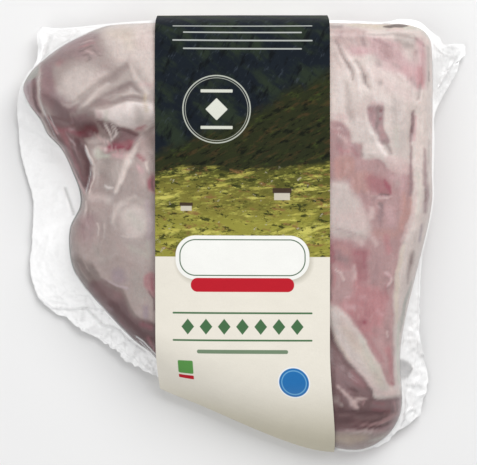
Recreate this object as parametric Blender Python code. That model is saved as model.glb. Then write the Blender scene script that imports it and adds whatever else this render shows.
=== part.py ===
"""Vacuum-packed lamb ribs with a printed card sleeve round the middle, lying flat, shown side up.

Shapes are worked out in millimetres and turned into metres as each mesh is made. X runs across the
pack, with the loin at +X and the thin breast side at -X. Y runs along the sleeve. Z is up from the
table. The origin lies on the table under the middle of the pack.

The pack is one closed solid: the ribs with the clear bag drawn tight on them, and the flat sealed
flange that stands out all round. Seen from above it has three outlines, each a closed curve:
    the crest, where the rounded top ends and the side wall starts,
    the seam, where the side wall meets the flange, and
    the film edge, where the flange is cut off.
The sleeve is a band of card wrapped tight round the pack, so each of its cross-sections is the
convex hull of the pack's own cross-section there, set off by a small gap.
"""

import math

import bpy
import numpy as np
from mathutils.geometry import convex_hull_2d

MM = 0.001

# Heights and thicknesses of the pack.
MEAT_HEIGHT = 44.0
SEAM_HEIGHT = 14.0
SEAM_TILT = 2.5
PACK_HALF_LENGTH = 145.0
FLANGE_DROP = 0.34
FLANGE_EDGE_HEIGHT = 4.0
FLANGE_THICKNESS = 0.8
FLANGE_MIN_WIDTH = 1.2
FLANGE_CLEARANCE = 0.9
WALL_MIN_WIDTH = 8.0
UNDERSIDE_ROUND = 17.0
WAVES_FULL_WIDTH = 10.0

# The ribs press through the bag below, as low ridges that run across the pack.
RIB_SPACING = 27.0
RIB_RELIEF = 1.8
RIB_PHASE = 4.0

# The card sleeve.
SLEEVE_WIDTH = 115.0
SLEEVE_MIDDLE_X = 0.6
SLEEVE_THICKNESS = 0.5
SLEEVE_GAP = 0.8
# The card stands off a little more at its +Y fold: how much, from which y, over what run, above what z.
SLEEVE_SLACK = 0.9
SLACK_START = 90.0
SLACK_RUN = 50.0
SLACK_FLOOR = 6.0
# It has slid towards +X down the slanted end: how far, from which y, over what run.
SLEEVE_DRIFT = 5.0
SLEEVE_DRIFT_START = -75.0
SLEEVE_DRIFT_RUN = 80.0
CHANNEL_MARGIN = 12.0

# How finely each surface is divided.
CORE_RINGS = 16
WALL_RINGS = 5
FLANGE_RINGS = 3
SLEEVE_STATIONS = 11
SLEEVE_STEPS = 56
CIRCLE_STEPS = 24
CORNER_WEIGHT = 30.0
SMOOTH_ANGLE = 50.0

# The three outlines, anticlockwise from the top of the left side.
FILM_EDGE = [
    # top left: the square corner flap, then the broad smooth flange down the left side
    (-59, 145), (-121, 140), (-138, 140), (-139, 119), (-150, 99), (-153, 86), (-151, 54), (-143, 23),
    (-144, -8), (-145, -21), (-140, -42),
    # bottom left: the crumpled flange that runs in towards the sleeve
    (-128, -54), (-120, -57), (-110, -65), (-86, -79), (-78, -87), (-54, -99), (-50, -103.5), (-28, -112.5),
    # bottom right: close round the loin's end, then crumpled again
    (63, -147), (99, -142), (106, -134), (113, -131), (119, -125), (122, -124), (126, -109), (128, -102),
    # right side, with the pointed flap at the top corner
    (122, -69), (123, -14), (129, 20), (131, 64), (131, 80), (137, 94), (147, 111), (149, 119), (153, 122),
    (153, 130), (137, 129), (134, 134), (128, 138), (121, 144), (108, 146), (99, 144), (62, 145),
]
SEAM = [
    # top left lobe, and the waist below it
    (-88, 141.5), (-98, 138.8), (-109, 134), (-122, 127), (-136, 116.5), (-143, 109.5), (-148, 100),
    (-146.5, 93), (-142, 85), (-136, 77.5), (-131, 67.5), (-121.5, 57.5), (-113.5, 41), (-109, 28),
    (-109, 19),
    # lower left bulge, and the long slanted end
    (-116, 4), (-115, -19), (-109, -32), (-74, -71), (-62, -80), (-52, -91), (6, -124.5),
    # the loin's rounded end, its straight side and the top corner
    (77, -147), (97, -139), (108, -122), (108, -75), (129, 20), (129, 44), (129, 122), (127.5, 132),
    (122, 138.5), (111, 142), (94, 142.5),
]
CREST = [
    (-77, 127), (-95, 120), (-119, 99), (-120, 86), (-111, 71), (-96, 26), (-101, 8), (-102, -14),
    (-84, -35), (-66, -54), (-56, -61), (36, -77), (60, -86), (80, -99), (92, -98), (97, -73), (110, 0),
    (115, 19), (117, 82), (114, 123), (101, 128), (-1, 129),
]

# Broad rises and hollows of the meat: middle x and y, half lengths along and across, turn, rise.
MOUNDS = {
    "loin muscle": (88, 15, 110, 34, 90, 6.0),
    "breast lobe": (-91, 104, 44, 30, 30, 5.0),
    "fat pad above the fold": (-76, 79, 20, 11, 10, 3.5),
    "waist": (-106, 28, 26, 18, 90, -5.0),
    "thin lower face": (-86, -18, 55, 42, 70, -8.0),
    "lower corner": (-60, -62, 30, 24, -35, -3.0),
    "loin's top corner": (106, 122, 40, 24, 0, -3.0),
    "hollow beside the loin": (62, -20, 80, 16, 85, -2.0),
}
# Folds of the meat that the bag sinks into: half width, depth, and the line that each follows.
FOLDS = {
    "belly fold": (8, 9, [(-132, 80), (-118, 73), (-101, 69), (-88, 62), (-75, 60), (-60, 67)]),
    "fold below it": (8, 7, [(-101, 69), (-96, 48), (-99, 31)]),
    "under the fat edge": (8, 3, [(52, -62), (68, -80), (82, -96), (90, -112)]),
    "chine line": (6, 2.5, [(115, 78), (115, 28), (108, -11), (105, -74), (103, -99)]),
}
# Where the flange is crumpled: direction from the middle, half spread (both in degrees), wave height.
CRUMPLES = ((228, 26, 1.6), (318, 22, 1.6), (40, 8, 1.0), (135, 7, 1.0), (180, 40, 0.5))
CRUMPLE_WAVES = (23, 37)


def smoothstep(value):
    """0 below 0, 1 above 1, and an easy S between."""
    share = np.clip(value, 0.0, 1.0)
    return share * share * (3.0 - 2.0 * share)


def smooth_curve(points, steps=12):
    """A closed centripetal Catmull-Rom curve through the points, as rows of x and y."""

    def between(a, b, start, end, at):
        return ((end - at) * a + (at - start) * b) / (end - start)

    p1 = np.asarray(points, float)
    p0, p2, p3 = (np.roll(p1, turn, 0) for turn in (1, -1, -2))
    t0 = np.zeros((len(p1), 1))
    t1, t2, t3 = np.cumsum(
        [np.linalg.norm(b - a, axis=1, keepdims=True) ** 0.5 for a, b in ((p0, p1), (p1, p2), (p2, p3))], 0
    )
    rows = []
    for share in np.arange(steps) / steps:
        at = t1 + share * (t2 - t1)
        a1, a2, a3 = between(p0, p1, t0, t1, at), between(p1, p2, t1, t2, at), between(p2, p3, t2, t3, at)
        b1, b2 = between(a1, a2, t0, t2, at), between(a2, a3, t1, t3, at)
        rows.append(between(b1, b2, t1, t2, at))
    return np.stack(rows, 1).reshape(-1, 2)


def reach(points):
    """A function from an angle to how far the closed curve through the points lies from the origin."""
    curve = smooth_curve(points)
    angle, distance = np.arctan2(curve[:, 1], curve[:, 0]), np.hypot(curve[:, 0], curve[:, 1])
    return lambda at: np.interp(at, angle, distance, period=math.tau)


def evenly_round(radius, samples=3600):
    """A function from a share of the way round the outline, 0 to 1, to the angle reached there."""
    angle = np.linspace(-math.pi / 4, math.tau - math.pi / 4, samples + 1)
    x, y = radius(angle) * np.cos(angle), radius(angle) * np.sin(angle)
    along = np.concatenate([[0.0], np.cumsum(np.hypot(np.diff(x), np.diff(y)))])
    return lambda share: np.interp((share + 0.125) % 1.0, along / along[-1], angle)


def square_rings(count):
    """The (2 count + 1) squared grid as rings: each point's ring number and its share of the way round."""
    a, b = np.meshgrid(np.arange(-count, count + 1), np.arange(-count, count + 1), indexing="ij")
    ring = np.maximum(abs(a), abs(b))
    steps = np.select([a == ring, b == ring, a == -ring], [b, 2 * ring - a, 4 * ring - b], 6 * ring + a)
    return ring, (steps / (8.0 * np.maximum(ring, 1))) % 1.0


def line_distance(x, y, line):
    """How far each point lies from an open line of straight runs."""
    nearest = np.full(x.shape, np.inf)
    for (x0, y0), (x1, y1) in zip(line, line[1:]):
        dx, dy = x1 - x0, y1 - y0
        share = np.clip(((x - x0) * dx + (y - y0) * dy) / (dx * dx + dy * dy), 0.0, 1.0)
        nearest = np.minimum(nearest, np.hypot(x - x0 - share * dx, y - y0 - share * dy))
    return nearest


def meat_top(x, y):
    """Height of the meat's top: the plateau with its broad rises and hollows, less its folds."""
    height = np.full(x.shape, MEAT_HEIGHT)
    for middle_x, middle_y, half_along, half_across, turn, rise in MOUNDS.values():
        c, s = math.cos(math.radians(turn)), math.sin(math.radians(turn))
        along = ((x - middle_x) * c + (y - middle_y) * s) / half_along
        across = ((y - middle_y) * c - (x - middle_x) * s) / half_across
        height += rise * np.exp(-(along**2) - across**2)
    for half_width, depth, line in FOLDS.values():
        height -= depth * np.exp(-((line_distance(x, y, line) / half_width) ** 2))
    return height


def sleeve_drift(y):
    """How far the sleeve has slid towards +X where it comes down over the slanted end."""
    return SLEEVE_DRIFT * smoothstep((SLEEVE_DRIFT_START - y) / SLEEVE_DRIFT_RUN)


def beside_sleeve(x, y):
    """Distance in X from the sleeve's middle line, with its slide taken out."""
    return x - SLEEVE_MIDDLE_X - sleeve_drift(y)


def underside(x, y):
    """Height of the pack's underside: rib ridges on the table, and a shallow channel for the sleeve."""
    ribs = RIB_RELIEF * (0.5 - 0.5 * np.cos(math.tau * (y + RIB_PHASE) / RIB_SPACING))
    channel = SLEEVE_THICKNESS + SLEEVE_GAP
    under_sleeve = abs(beside_sleeve(x, y)) < SLEEVE_WIDTH / 2 + CHANNEL_MARGIN
    return np.where(under_sleeve, channel, ribs)


def crumple(angle, share):
    """Up and down waves of the flange, highest where it is crumpled. share is the way round it."""
    height = np.zeros(angle.shape)
    for middle, spread, rise in CRUMPLES:
        off = (np.degrees(angle) - middle + 180.0) % 360.0 - 180.0
        height += rise * np.exp(-((off / spread) ** 2))
    slow, quick = CRUMPLE_WAVES
    return height * (0.6 * np.sin(math.tau * slow * share) + 0.4 * np.sin(math.tau * quick * share + 1.0))


def pack_surface():
    """Top and bottom points of the pack on one square grid of rings, as two (side, side, 3) arrays."""
    seam, crest = reach(SEAM), reach(CREST)
    rings = CORE_RINGS + WALL_RINGS + FLANGE_RINGS
    ring, share = square_rings(rings)
    angle = evenly_round(reach(FILM_EDGE))(share)
    at_seam = seam(angle)
    at_crest = np.minimum(crest(angle), at_seam - WALL_MIN_WIDTH)
    at_edge = np.maximum(reach(FILM_EDGE)(angle), at_seam + FLANGE_MIN_WIDTH)

    # Rings up the wall are spaced as along a quarter turn: closer at the seam, where the wall is steep.
    climb = np.clip((CORE_RINGS + WALL_RINGS - ring) / WALL_RINGS, 0.0, 1.0) * math.pi / 2
    out = np.clip((ring - CORE_RINGS - WALL_RINGS) / FLANGE_RINGS, 0.0, 1.0)
    radius = np.where(
        ring <= CORE_RINGS,
        at_crest * ring / CORE_RINGS,
        at_seam - (1.0 - np.cos(climb)) * (at_seam - at_crest) + out * (at_edge - at_seam),
    )
    x, y = radius * np.cos(angle), radius * np.sin(angle)

    seam_height = SEAM_HEIGHT + SEAM_TILT * y / PACK_HALF_LENGTH
    width = at_edge - at_seam
    edge_height = np.maximum(FLANGE_EDGE_HEIGHT, seam_height - FLANGE_DROP * width)
    flange = seam_height + (edge_height - seam_height) * out
    flange = flange + crumple(angle, share) * out * smoothstep(width / WAVES_FULL_WIDTH)
    wall = seam_height + (meat_top(x, y) - seam_height) * np.sin(climb)
    top = np.where(out > 0.0, np.maximum(flange, FLANGE_CLEARANCE + FLANGE_THICKNESS), wall)

    # Below the seam the meat rounds under, as a quarter of an ellipse, onto the ribbed underside.
    inward = np.clip((at_seam - radius) / UNDERSIDE_ROUND, 0.0, 1.0)
    belly = underside(x, y)
    seam_foot = seam_height - FLANGE_THICKNESS
    rounded = belly + (seam_foot - belly) * (1.0 - np.sqrt(1.0 - (1.0 - inward) ** 2))
    bottom = np.where(out > 0.0, top - FLANGE_THICKNESS, rounded)
    return np.stack([x, y, top], -1), np.stack([x, y, bottom], -1)


def closed_pack():
    """The pack as points and faces: the top sheet, the bottom sheet, and the cut edge that joins them."""
    top, bottom = pack_surface()
    side = top.shape[0]
    number = np.arange(side * side).reshape(side, side)
    sheet = np.stack([number[:-1, :-1], number[1:, :-1], number[1:, 1:], number[:-1, 1:]], -1).reshape(-1, 4)
    rim = np.concatenate([number[:-1, 0], number[-1, :-1], number[:0:-1, -1], number[0, :0:-1]])
    after = np.roll(rim, -1)
    below = side * side
    edge = np.stack([after, rim, rim + below, after + below], -1)
    points = np.concatenate([top.reshape(-1, 3), bottom.reshape(-1, 3)])
    return points, np.concatenate([sheet, sheet[:, ::-1] + below, edge])


def cross_section(points, faces, at):
    """Where the mesh's edges cross the plane that stands at this distance beside the sleeve's middle line."""
    ends = np.unique(np.sort(np.stack([faces, np.roll(faces, -1, 1)], -1).reshape(-1, 2), 1), axis=0)
    off = beside_sleeve(points[:, 0], points[:, 1]) - at
    a, b = ends[(off[ends[:, 0]] > 0.0) != (off[ends[:, 1]] > 0.0)].T
    share = (off[a] / (off[a] - off[b]))[:, None]
    return (points[a] + share * (points[b] - points[a]))[:, 1:]


def sleeve_loop(points, faces, at, reach_beside):
    """One loop of the sleeve's inner face: the hull round the pack's section, set off by the gap."""
    half = SLEEVE_WIDTH / 2
    planes = np.clip([at - reach_beside, at, at + reach_beside], -half, half)
    section = np.concatenate([cross_section(points, faces, plane) for plane in planes])
    turn = np.arange(CIRCLE_STEPS) * math.tau / CIRCLE_STEPS
    circle = np.stack([np.cos(turn), np.sin(turn)], -1)
    slack = smoothstep((section[:, :1] - SLACK_START) / SLACK_RUN) * (section[:, 1:] > SLACK_FLOOR)
    gap = SLEEVE_GAP + SLEEVE_SLACK * slack
    around = (section[:, None] + gap[:, None] * circle).reshape(-1, 2)
    hull = around[convex_hull_2d([tuple(point) for point in around])]
    return even_loop(hull)


def even_loop(hull):
    """SLEEVE_STEPS points round a convex loop, from the middle of its underside by way of +Y. The spacing
    counts a turn of the card as worth CORNER_WEIGHT times its angle, so the round ends get more points."""
    hull = hull[np.linalg.norm(np.roll(hull, -1, 0) - hull, axis=1) > SLEEVE_GAP / 20]
    after = np.roll(hull, -1, 0)
    run = after - hull
    # The two points where the loop crosses y = 0, one below and one above, split it into halves.
    cuts = []
    for crossing in np.flatnonzero((hull[:, 0] <= 0.0) != (after[:, 0] <= 0.0)):
        share = -hull[crossing, 0] / run[crossing, 0]
        cuts.append((crossing, hull[crossing] + share * run[crossing]))
    (low, low_point), (high, high_point) = sorted(cuts, key=lambda cut: cut[1][1])
    rows = []
    for start, start_point, end, end_point in (
        (low, low_point, high, high_point),
        (high, high_point, low, low_point),
    ):
        between = (start + 1 + np.arange((end - start) % len(hull))) % len(hull)
        path = np.concatenate([[start_point], hull[between], [end_point]])
        leg = np.diff(path, axis=0)
        heading = np.unwrap(np.arctan2(leg[:, 1], leg[:, 0]))
        turn = np.concatenate([[0.0], abs(np.diff(heading)), [0.0]])
        length = np.hypot(leg[:, 0], leg[:, 1]) + CORNER_WEIGHT * (turn[:-1] + turn[1:]) / 2
        along = np.concatenate([[0.0], np.cumsum(length)])
        at = np.arange(SLEEVE_STEPS // 2) / (SLEEVE_STEPS // 2) * along[-1]
        rows.append(np.stack([np.interp(at, along, path[:, axis]) for axis in (0, 1)], -1))
    return np.concatenate(rows)


def closed_sleeve(points, faces):
    """The sleeve as points and faces: the inner and outer faces of the card, joined at its two cut edges."""
    stations = np.linspace(-SLEEVE_WIDTH / 2, SLEEVE_WIDTH / 2, SLEEVE_STATIONS)
    reach_beside = (stations[1] - stations[0]) / 2
    inner = np.stack([sleeve_loop(points, faces, at, reach_beside) for at in stations])
    along = np.roll(inner, -1, 1) - np.roll(inner, 1, 1)
    along /= np.linalg.norm(along, axis=-1, keepdims=True)
    outer = inner + SLEEVE_THICKNESS * np.stack([along[..., 1], -along[..., 0]], -1)
    outer[..., 1] = np.maximum(outer[..., 1], 0.0)

    def placed(loops):
        x = SLEEVE_MIDDLE_X + stations[:, None] + sleeve_drift(loops[..., 0])
        return np.concatenate([x[..., None], loops], -1).reshape(-1, 3)

    count = SLEEVE_STATIONS * SLEEVE_STEPS
    number = np.arange(count).reshape(SLEEVE_STATIONS, SLEEVE_STEPS)
    after = np.roll(number, -1, 1)
    skin = np.stack([number[:-1], after[:-1], after[1:], number[1:]], -1).reshape(-1, 4)
    first = np.stack([after[0], number[0], number[0] + count, after[0] + count], -1)
    last = np.stack([number[-1], after[-1], after[-1] + count, number[-1] + count], -1)
    card = np.concatenate([skin, skin[:, ::-1] + count, first, last])
    return np.concatenate([placed(outer), placed(inner)]), card


def plain_material(name, colour, roughness):
    """A Principled material with the part's own colour and roughness."""
    material = bpy.data.materials.new(name)
    material.use_nodes = True
    shader = material.node_tree.nodes["Principled BSDF"]
    shader.inputs["Base Color"].default_value = (*colour, 1.0)
    shader.inputs["Roughness"].default_value = roughness
    shader.inputs["Metallic"].default_value = 0.0
    material.diffuse_color = (*colour, 1.0)
    return material


def add_solid(name, points, faces, material):
    """A smooth-shaded object from points in millimetres."""
    mesh = bpy.data.meshes.new(name)
    mesh.from_pydata((points * MM).tolist(), [], faces.tolist())
    mesh.shade_smooth()
    mesh.set_sharp_from_angle(angle=math.radians(SMOOTH_ANGLE))
    mesh.materials.append(material)
    solid = bpy.data.objects.new(name, mesh)
    bpy.context.scene.collection.objects.link(solid)
    return solid


def build():
    """Clears the scene and makes the pack and its sleeve."""
    for old in list(bpy.data.objects):
        bpy.data.objects.remove(old)
    points, faces = closed_pack()
    add_solid("vacuum_pack", points, faces, plain_material("packed_meat", (0.50, 0.32, 0.30), 0.3))
    sleeve_points, sleeve_faces = closed_sleeve(points, faces)
    card = plain_material("sleeve_card", (0.72, 0.69, 0.60), 0.5)
    add_solid("sleeve", sleeve_points, sleeve_faces, card)


build()
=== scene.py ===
# %% [markdown]
# # Vacuum-packed lamb ribs in a card sleeve
# The real object is a slab of lamb, ribs below and loin along one side, sealed in a clear bag that
# the vacuum has drawn tight. A printed card sleeve is wrapped round the middle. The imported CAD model
# holds the size and the main forms. This script dresses it: meat, film and card, each as a finer
# surface over the same formulas. Lengths are in millimetres until a mesh is made.

# %% Load the frame
import math
from collections import namedtuple
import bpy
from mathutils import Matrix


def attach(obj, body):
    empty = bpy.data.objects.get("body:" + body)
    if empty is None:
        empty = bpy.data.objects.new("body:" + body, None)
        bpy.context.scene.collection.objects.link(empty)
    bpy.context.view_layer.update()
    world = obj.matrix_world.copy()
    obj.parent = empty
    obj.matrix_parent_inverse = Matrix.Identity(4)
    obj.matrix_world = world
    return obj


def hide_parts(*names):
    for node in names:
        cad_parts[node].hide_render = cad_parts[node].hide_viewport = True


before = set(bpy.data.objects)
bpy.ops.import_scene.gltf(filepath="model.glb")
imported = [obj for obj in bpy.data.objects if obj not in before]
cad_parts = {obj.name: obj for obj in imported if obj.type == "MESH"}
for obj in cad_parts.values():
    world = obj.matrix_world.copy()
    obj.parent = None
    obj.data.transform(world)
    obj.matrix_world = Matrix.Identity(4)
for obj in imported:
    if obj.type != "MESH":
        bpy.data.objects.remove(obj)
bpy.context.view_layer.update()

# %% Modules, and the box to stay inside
from types import SimpleNamespace

import bpy
import numpy as np
from mathutils.geometry import convex_hull_2d

MM = 0.001

# %% [markdown]
# ## The pack in plan
# Seen from above the pack has three outlines: the crest, where the rounded top ends; the seam, where
# the side wall meets the flat sealed flange; and the film edge, where the flange is cut off. They could
# be splines drawn by hand. Here they are the same few points as in the CAD source, joined by a
# Catmull-Rom curve, so that the fine surfaces lie exactly where the solid does.

# %% The three outlines
FILM_EDGE = [
    (-59, 145), (-121, 140), (-138, 140), (-139, 119), (-150, 99), (-153, 86), (-151, 54), (-143, 23),
    (-144, -8), (-145, -21), (-140, -42), (-128, -54), (-120, -57), (-110, -65), (-86, -79), (-78, -87),
    (-54, -99), (-50, -103.5), (-28, -112.5), (63, -147), (99, -142), (106, -134), (113, -131), (119, -125),
    (122, -124), (126, -109), (128, -102), (122, -69), (123, -14), (129, 20), (131, 64), (131, 80),
    (137, 94), (147, 111), (149, 119), (153, 122), (153, 130), (137, 129), (134, 134), (128, 138),
    (121, 144), (108, 146), (99, 144), (62, 145),
]
SEAM = [
    (-88, 141.5), (-98, 138.8), (-109, 134), (-122, 127), (-136, 116.5), (-143, 109.5), (-148, 100),
    (-146.5, 93), (-142, 85), (-136, 77.5), (-131, 67.5), (-121.5, 57.5), (-113.5, 41), (-109, 28),
    (-109, 19), (-116, 4), (-115, -19), (-109, -32), (-74, -71), (-62, -80), (-52, -91), (6, -124.5),
    (77, -147), (97, -139), (108, -122), (108, -75), (129, 20), (129, 44), (129, 122), (127.5, 132),
    (122, 138.5), (111, 142), (94, 142.5),
]
CREST = [
    (-77, 127), (-95, 120), (-119, 99), (-120, 86), (-111, 71), (-96, 26), (-101, 8), (-102, -14),
    (-84, -35), (-66, -54), (-56, -61), (36, -77), (60, -86), (80, -99), (92, -98), (97, -73), (110, 0),
    (115, 19), (117, 82), (114, 123), (101, 128), (-1, 129),
]


def smoothstep(value):
    """0 below 0, 1 above 1, and an easy S between: t times t times (3 - 2 t)."""
    share = np.clip(value, 0.0, 1.0)
    return share * share * (3.0 - 2.0 * share)


def smooth_curve(points, steps=12):
    """A closed centripetal Catmull-Rom curve: between two points, each blend of blends over four of them."""

    def between(a, b, start, end, at):
        return ((end - at) * a + (at - start) * b) / (end - start)

    p1 = np.asarray(points, float)
    p0, p2, p3 = (np.roll(p1, turn, 0) for turn in (1, -1, -2))
    t0 = np.zeros((len(p1), 1))
    t1, t2, t3 = np.cumsum(
        [np.linalg.norm(b - a, axis=1, keepdims=True) ** 0.5 for a, b in ((p0, p1), (p1, p2), (p2, p3))], 0
    )
    rows = []
    for share in np.arange(steps) / steps:
        at = t1 + share * (t2 - t1)
        a1, a2, a3 = between(p0, p1, t0, t1, at), between(p1, p2, t1, t2, at), between(p2, p3, t2, t3, at)
        b1, b2 = between(a1, a2, t0, t2, at), between(a2, a3, t1, t3, at)
        rows.append(between(b1, b2, t1, t2, at))
    return np.stack(rows, 1).reshape(-1, 2)


def reach(points):
    """A function from an angle to how far the closed curve through the points lies from the origin."""
    curve = smooth_curve(points)
    angle, distance = np.arctan2(curve[:, 1], curve[:, 0]), np.hypot(curve[:, 0], curve[:, 1])
    return lambda at: np.interp(at, angle, distance, period=math.tau)


crest_reach, seam_reach, film_reach = reach(CREST), reach(SEAM), reach(FILM_EDGE)
print("the seam reaches", seam_reach(0.0).round(1), "mm at +X and", seam_reach(math.pi).round(1), "at -X")

# %% [markdown]
# ## A grid made of rings
# A polar grid would pinch all its faces together at the middle. A square grid whose squares are pushed
# out onto the outlines has faces of even size instead: its rings are the crest, the seam and the film
# edge, and its four corners just lie on the outline.

# %% The ring grid, and where its points lie in plan
SEAM_HEIGHT, SEAM_TILT, PACK_HALF_LENGTH = 14.0, 2.5, 145.0
FLANGE_MIN_WIDTH, WALL_MIN_WIDTH, UNDERSIDE_ROUND = 1.2, 8.0, 17.0


def square_rings(count):
    """The (2 count + 1) squared grid as rings: each point's ring number and its share of the way round."""
    a, b = np.meshgrid(np.arange(-count, count + 1), np.arange(-count, count + 1), indexing="ij")
    ring = np.maximum(abs(a), abs(b))
    steps = np.select([a == ring, b == ring, a == -ring], [b, 2 * ring - a, 4 * ring - b], 6 * ring + a)
    return ring, (steps / (8.0 * np.maximum(ring, 1))) % 1.0


def evenly_round(radius, samples=3600):
    """A function from a share of the way round the outline, 0 to 1, to the angle reached there. Share 0 is
    half a side of the square past its corner, and the corner lies at -45 degrees."""
    angle = np.linspace(-math.pi / 4, math.tau - math.pi / 4, samples + 1)
    x, y = radius(angle) * np.cos(angle), radius(angle) * np.sin(angle)
    along = np.concatenate([[0.0], np.cumsum(np.hypot(np.diff(x), np.diff(y)))])
    half_side = 1 / 8
    return lambda share: np.interp((share + half_side) % 1.0, along / along[-1], angle)


def pack_plan(core, wall, flange, packing=1.0):
    """Plan of the pack on core + wall + flange rings. Core radius = crest times (ring share to the power
    packing). Up the wall the rings are spaced as along a quarter turn: seam - (1 - cos climb) (seam - crest).
    Over the flange they are evenly spaced. climb is 90 degrees on the core and 0 at the seam."""
    ring, share = square_rings(core + wall + flange)
    angle = evenly_round(film_reach)(share)
    at_seam = seam_reach(angle)
    at_crest = np.minimum(crest_reach(angle), at_seam - WALL_MIN_WIDTH)
    at_edge = np.maximum(film_reach(angle), at_seam + FLANGE_MIN_WIDTH)
    climb = np.clip((core + wall - ring) / wall, 0.0, 1.0) * math.pi / 2
    out = np.clip((ring - core - wall) / max(flange, 1), 0.0, 1.0)
    radius = np.where(
        ring <= core,
        at_crest * (ring / core) ** packing,
        at_seam - (1.0 - np.cos(climb)) * (at_seam - at_crest) + out * (at_edge - at_seam),
    )
    x, y = radius * np.cos(angle), radius * np.sin(angle)
    return SimpleNamespace(
        x=x, y=y, climb=climb, out=out, share=share, angle=angle, width=at_edge - at_seam,
        inward=at_seam - radius, seam_height=SEAM_HEIGHT + SEAM_TILT * y / PACK_HALF_LENGTH,
    )


print("a coarse plan has", pack_plan(36, 12, 12).x.size, "points")

# %% [markdown]
# ## Noise
# Nothing on meat or film is even. All the unevenness comes from two seeded fields: a soft one, made by
# blending random numbers on a lattice, and a faceted one, made from distances to scattered points,
# which has the sharp ridges of crumpled film. Both work on whole arrays at once. The last number of each
# call is its seed.

# %% Soft noise and crumpled facets
LATTICE = 64
OCTAVE_FALL, CLOUD_GAIN = 0.55, 1.6


def soft_noise(x, y, size, seed):
    """Random heights from -1 to 1 on a lattice of this size in mm, blended between corners by an S curve."""
    heights = np.random.default_rng(seed).uniform(-1.0, 1.0, (LATTICE, LATTICE))
    u, v = x / size, y / size
    i, j = np.floor(u).astype(int), np.floor(v).astype(int)
    ease_u, ease_v = smoothstep(u - i), smoothstep(v - j)
    i, j, next_i, next_j = i % LATTICE, j % LATTICE, (i + 1) % LATTICE, (j + 1) % LATTICE
    near = heights[i, j] * (1.0 - ease_u) + heights[next_i, j] * ease_u
    far = heights[i, next_j] * (1.0 - ease_u) + heights[next_i, next_j] * ease_u
    return near * (1.0 - ease_v) + far * ease_v


def cloud(x, y, size, seed, octaves=3):
    """Soft noise added up over octaves: each is half the size and a bit over half the height of the last,
    and turned, so that the lattices never line up."""
    total, height, whole = np.zeros(np.shape(x)), 1.0, 0.0
    for octave in range(octaves):
        total += height * soft_noise(x, y, size, seed + octave)
        whole += height
        x, y, size, height = 0.8 * x - 0.6 * y, 0.6 * x + 0.8 * y, size / 2.0, height * OCTAVE_FALL
    return total / whole * CLOUD_GAIN


def facets(x, y, size, seed):
    """Crumpled height, 0 to about 1: the distance to the nearest of one random point in each lattice cell.
    Also how much farther the second nearest lies, which is 0 along the ridges between facets."""
    spots = np.random.default_rng(seed).uniform(0.0, 1.0, (LATTICE, LATTICE, 2))
    u, v = x / size, y / size
    i, j = np.floor(u).astype(int), np.floor(v).astype(int)
    nearest, second = np.full(np.shape(x), 9.0), np.full(np.shape(x), 9.0)
    for p in (-1, 0, 1):
        for q in (-1, 0, 1):
            spot = spots[(i + p) % LATTICE, (j + q) % LATTICE]
            distance = np.hypot(u - i - p - spot[..., 0], v - j - q - spot[..., 1])
            second = np.minimum(second, np.maximum(nearest, distance))
            nearest = np.minimum(nearest, distance)
    return nearest, second - nearest


sample_x, sample_y = np.meshgrid(np.arange(300.0), np.arange(300.0))
print("soft noise spans", np.ptp(cloud(sample_x, sample_y, 9.0, 1)).round(2))

# %% [markdown]
# ## Marks
# Meat is painted and modelled with the same strokes: a fold is both a line of shade and a dent. A mark
# is either a stroke, a run of points that each have their own half width, or a patch, a closed smooth
# outline. Each mark names a tone, says how soft its rim is and how strongly it covers, and may raise or
# sink the surface. The signed distance to its rim, in mm, drives all of that.

# %% Marks, and the distance to one
Mark = namedtuple("Mark", "closed tone soft points strength rise")
MARGIN = 12.0


def stroke(tone, soft, points, strength=0.6, rise=0.0):
    """A tapered line of points (x, y, half width)."""
    return Mark(False, tone, soft, points, strength, rise)


def patch(tone, soft, points, strength=0.9, rise=0.0):
    """A closed smooth outline of points (x, y)."""
    return Mark(True, tone, soft, points, strength, rise)


def run_distance(x, y, start, end):
    """Distance to a straight run, and the share of the way along it where the nearest point lies."""
    dx, dy = end[0] - start[0], end[1] - start[1]
    share = np.clip(((x - start[0]) * dx + (y - start[1]) * dy) / max(dx * dx + dy * dy, 1e-9), 0.0, 1.0)
    return np.hypot(x - start[0] - share * dx, y - start[1] - share * dy), share


def rim_distance(x, y, mark):
    """Signed distance to a mark's rim, negative inside. For a stroke: distance to its nearest run, less the
    half width there. For a patch: distance to its outline, with the sign from how often a ray crosses it."""
    if not mark.closed:
        nearest = np.full(x.shape, np.inf)
        points = mark.points if len(mark.points) > 1 else mark.points * 2
        for start, end in zip(points, points[1:]):
            distance, share = run_distance(x, y, start, end)
            nearest = np.minimum(nearest, distance - start[2] - share * (end[2] - start[2]))
        return nearest
    outline = smooth_curve(mark.points, 4)
    nearest, inside = np.full(x.shape, np.inf), np.zeros(x.shape, bool)
    for start, end in zip(outline, np.roll(outline, -1, 0)):
        nearest = np.minimum(nearest, run_distance(x, y, start, end)[0])
        spans = (start[1] > y) != (end[1] > y)
        crossing = start[0] + (y - start[1]) * (end[0] - start[0]) / (end[1] - start[1] + 1e-12)
        inside ^= spans & (x < crossing)
    return np.where(inside, -nearest, nearest)


def cover(x, y, mark):
    """How much a mark covers each point, 0 to 1: an S curve across its soft rim. Only points within a margin
    of its box are worked out."""
    spots = np.array([point[:2] for point in mark.points], float)
    low, high = spots.min(0) - mark.soft - MARGIN, spots.max(0) + mark.soft + MARGIN
    near = (x > low[0]) & (x < high[0]) & (y > low[1]) & (y < high[1])
    share = np.zeros(x.shape)
    share[near] = smoothstep(0.5 - rim_distance(x[near], y[near], mark) / mark.soft)
    return share


all_marks = []


def add_marks(*marks):
    """Adds these marks to the list of all, in the order in which they are laid over one another."""
    all_marks.extend(marks)
    print(len(marks), "marks,", len(all_marks), "so far")


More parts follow.
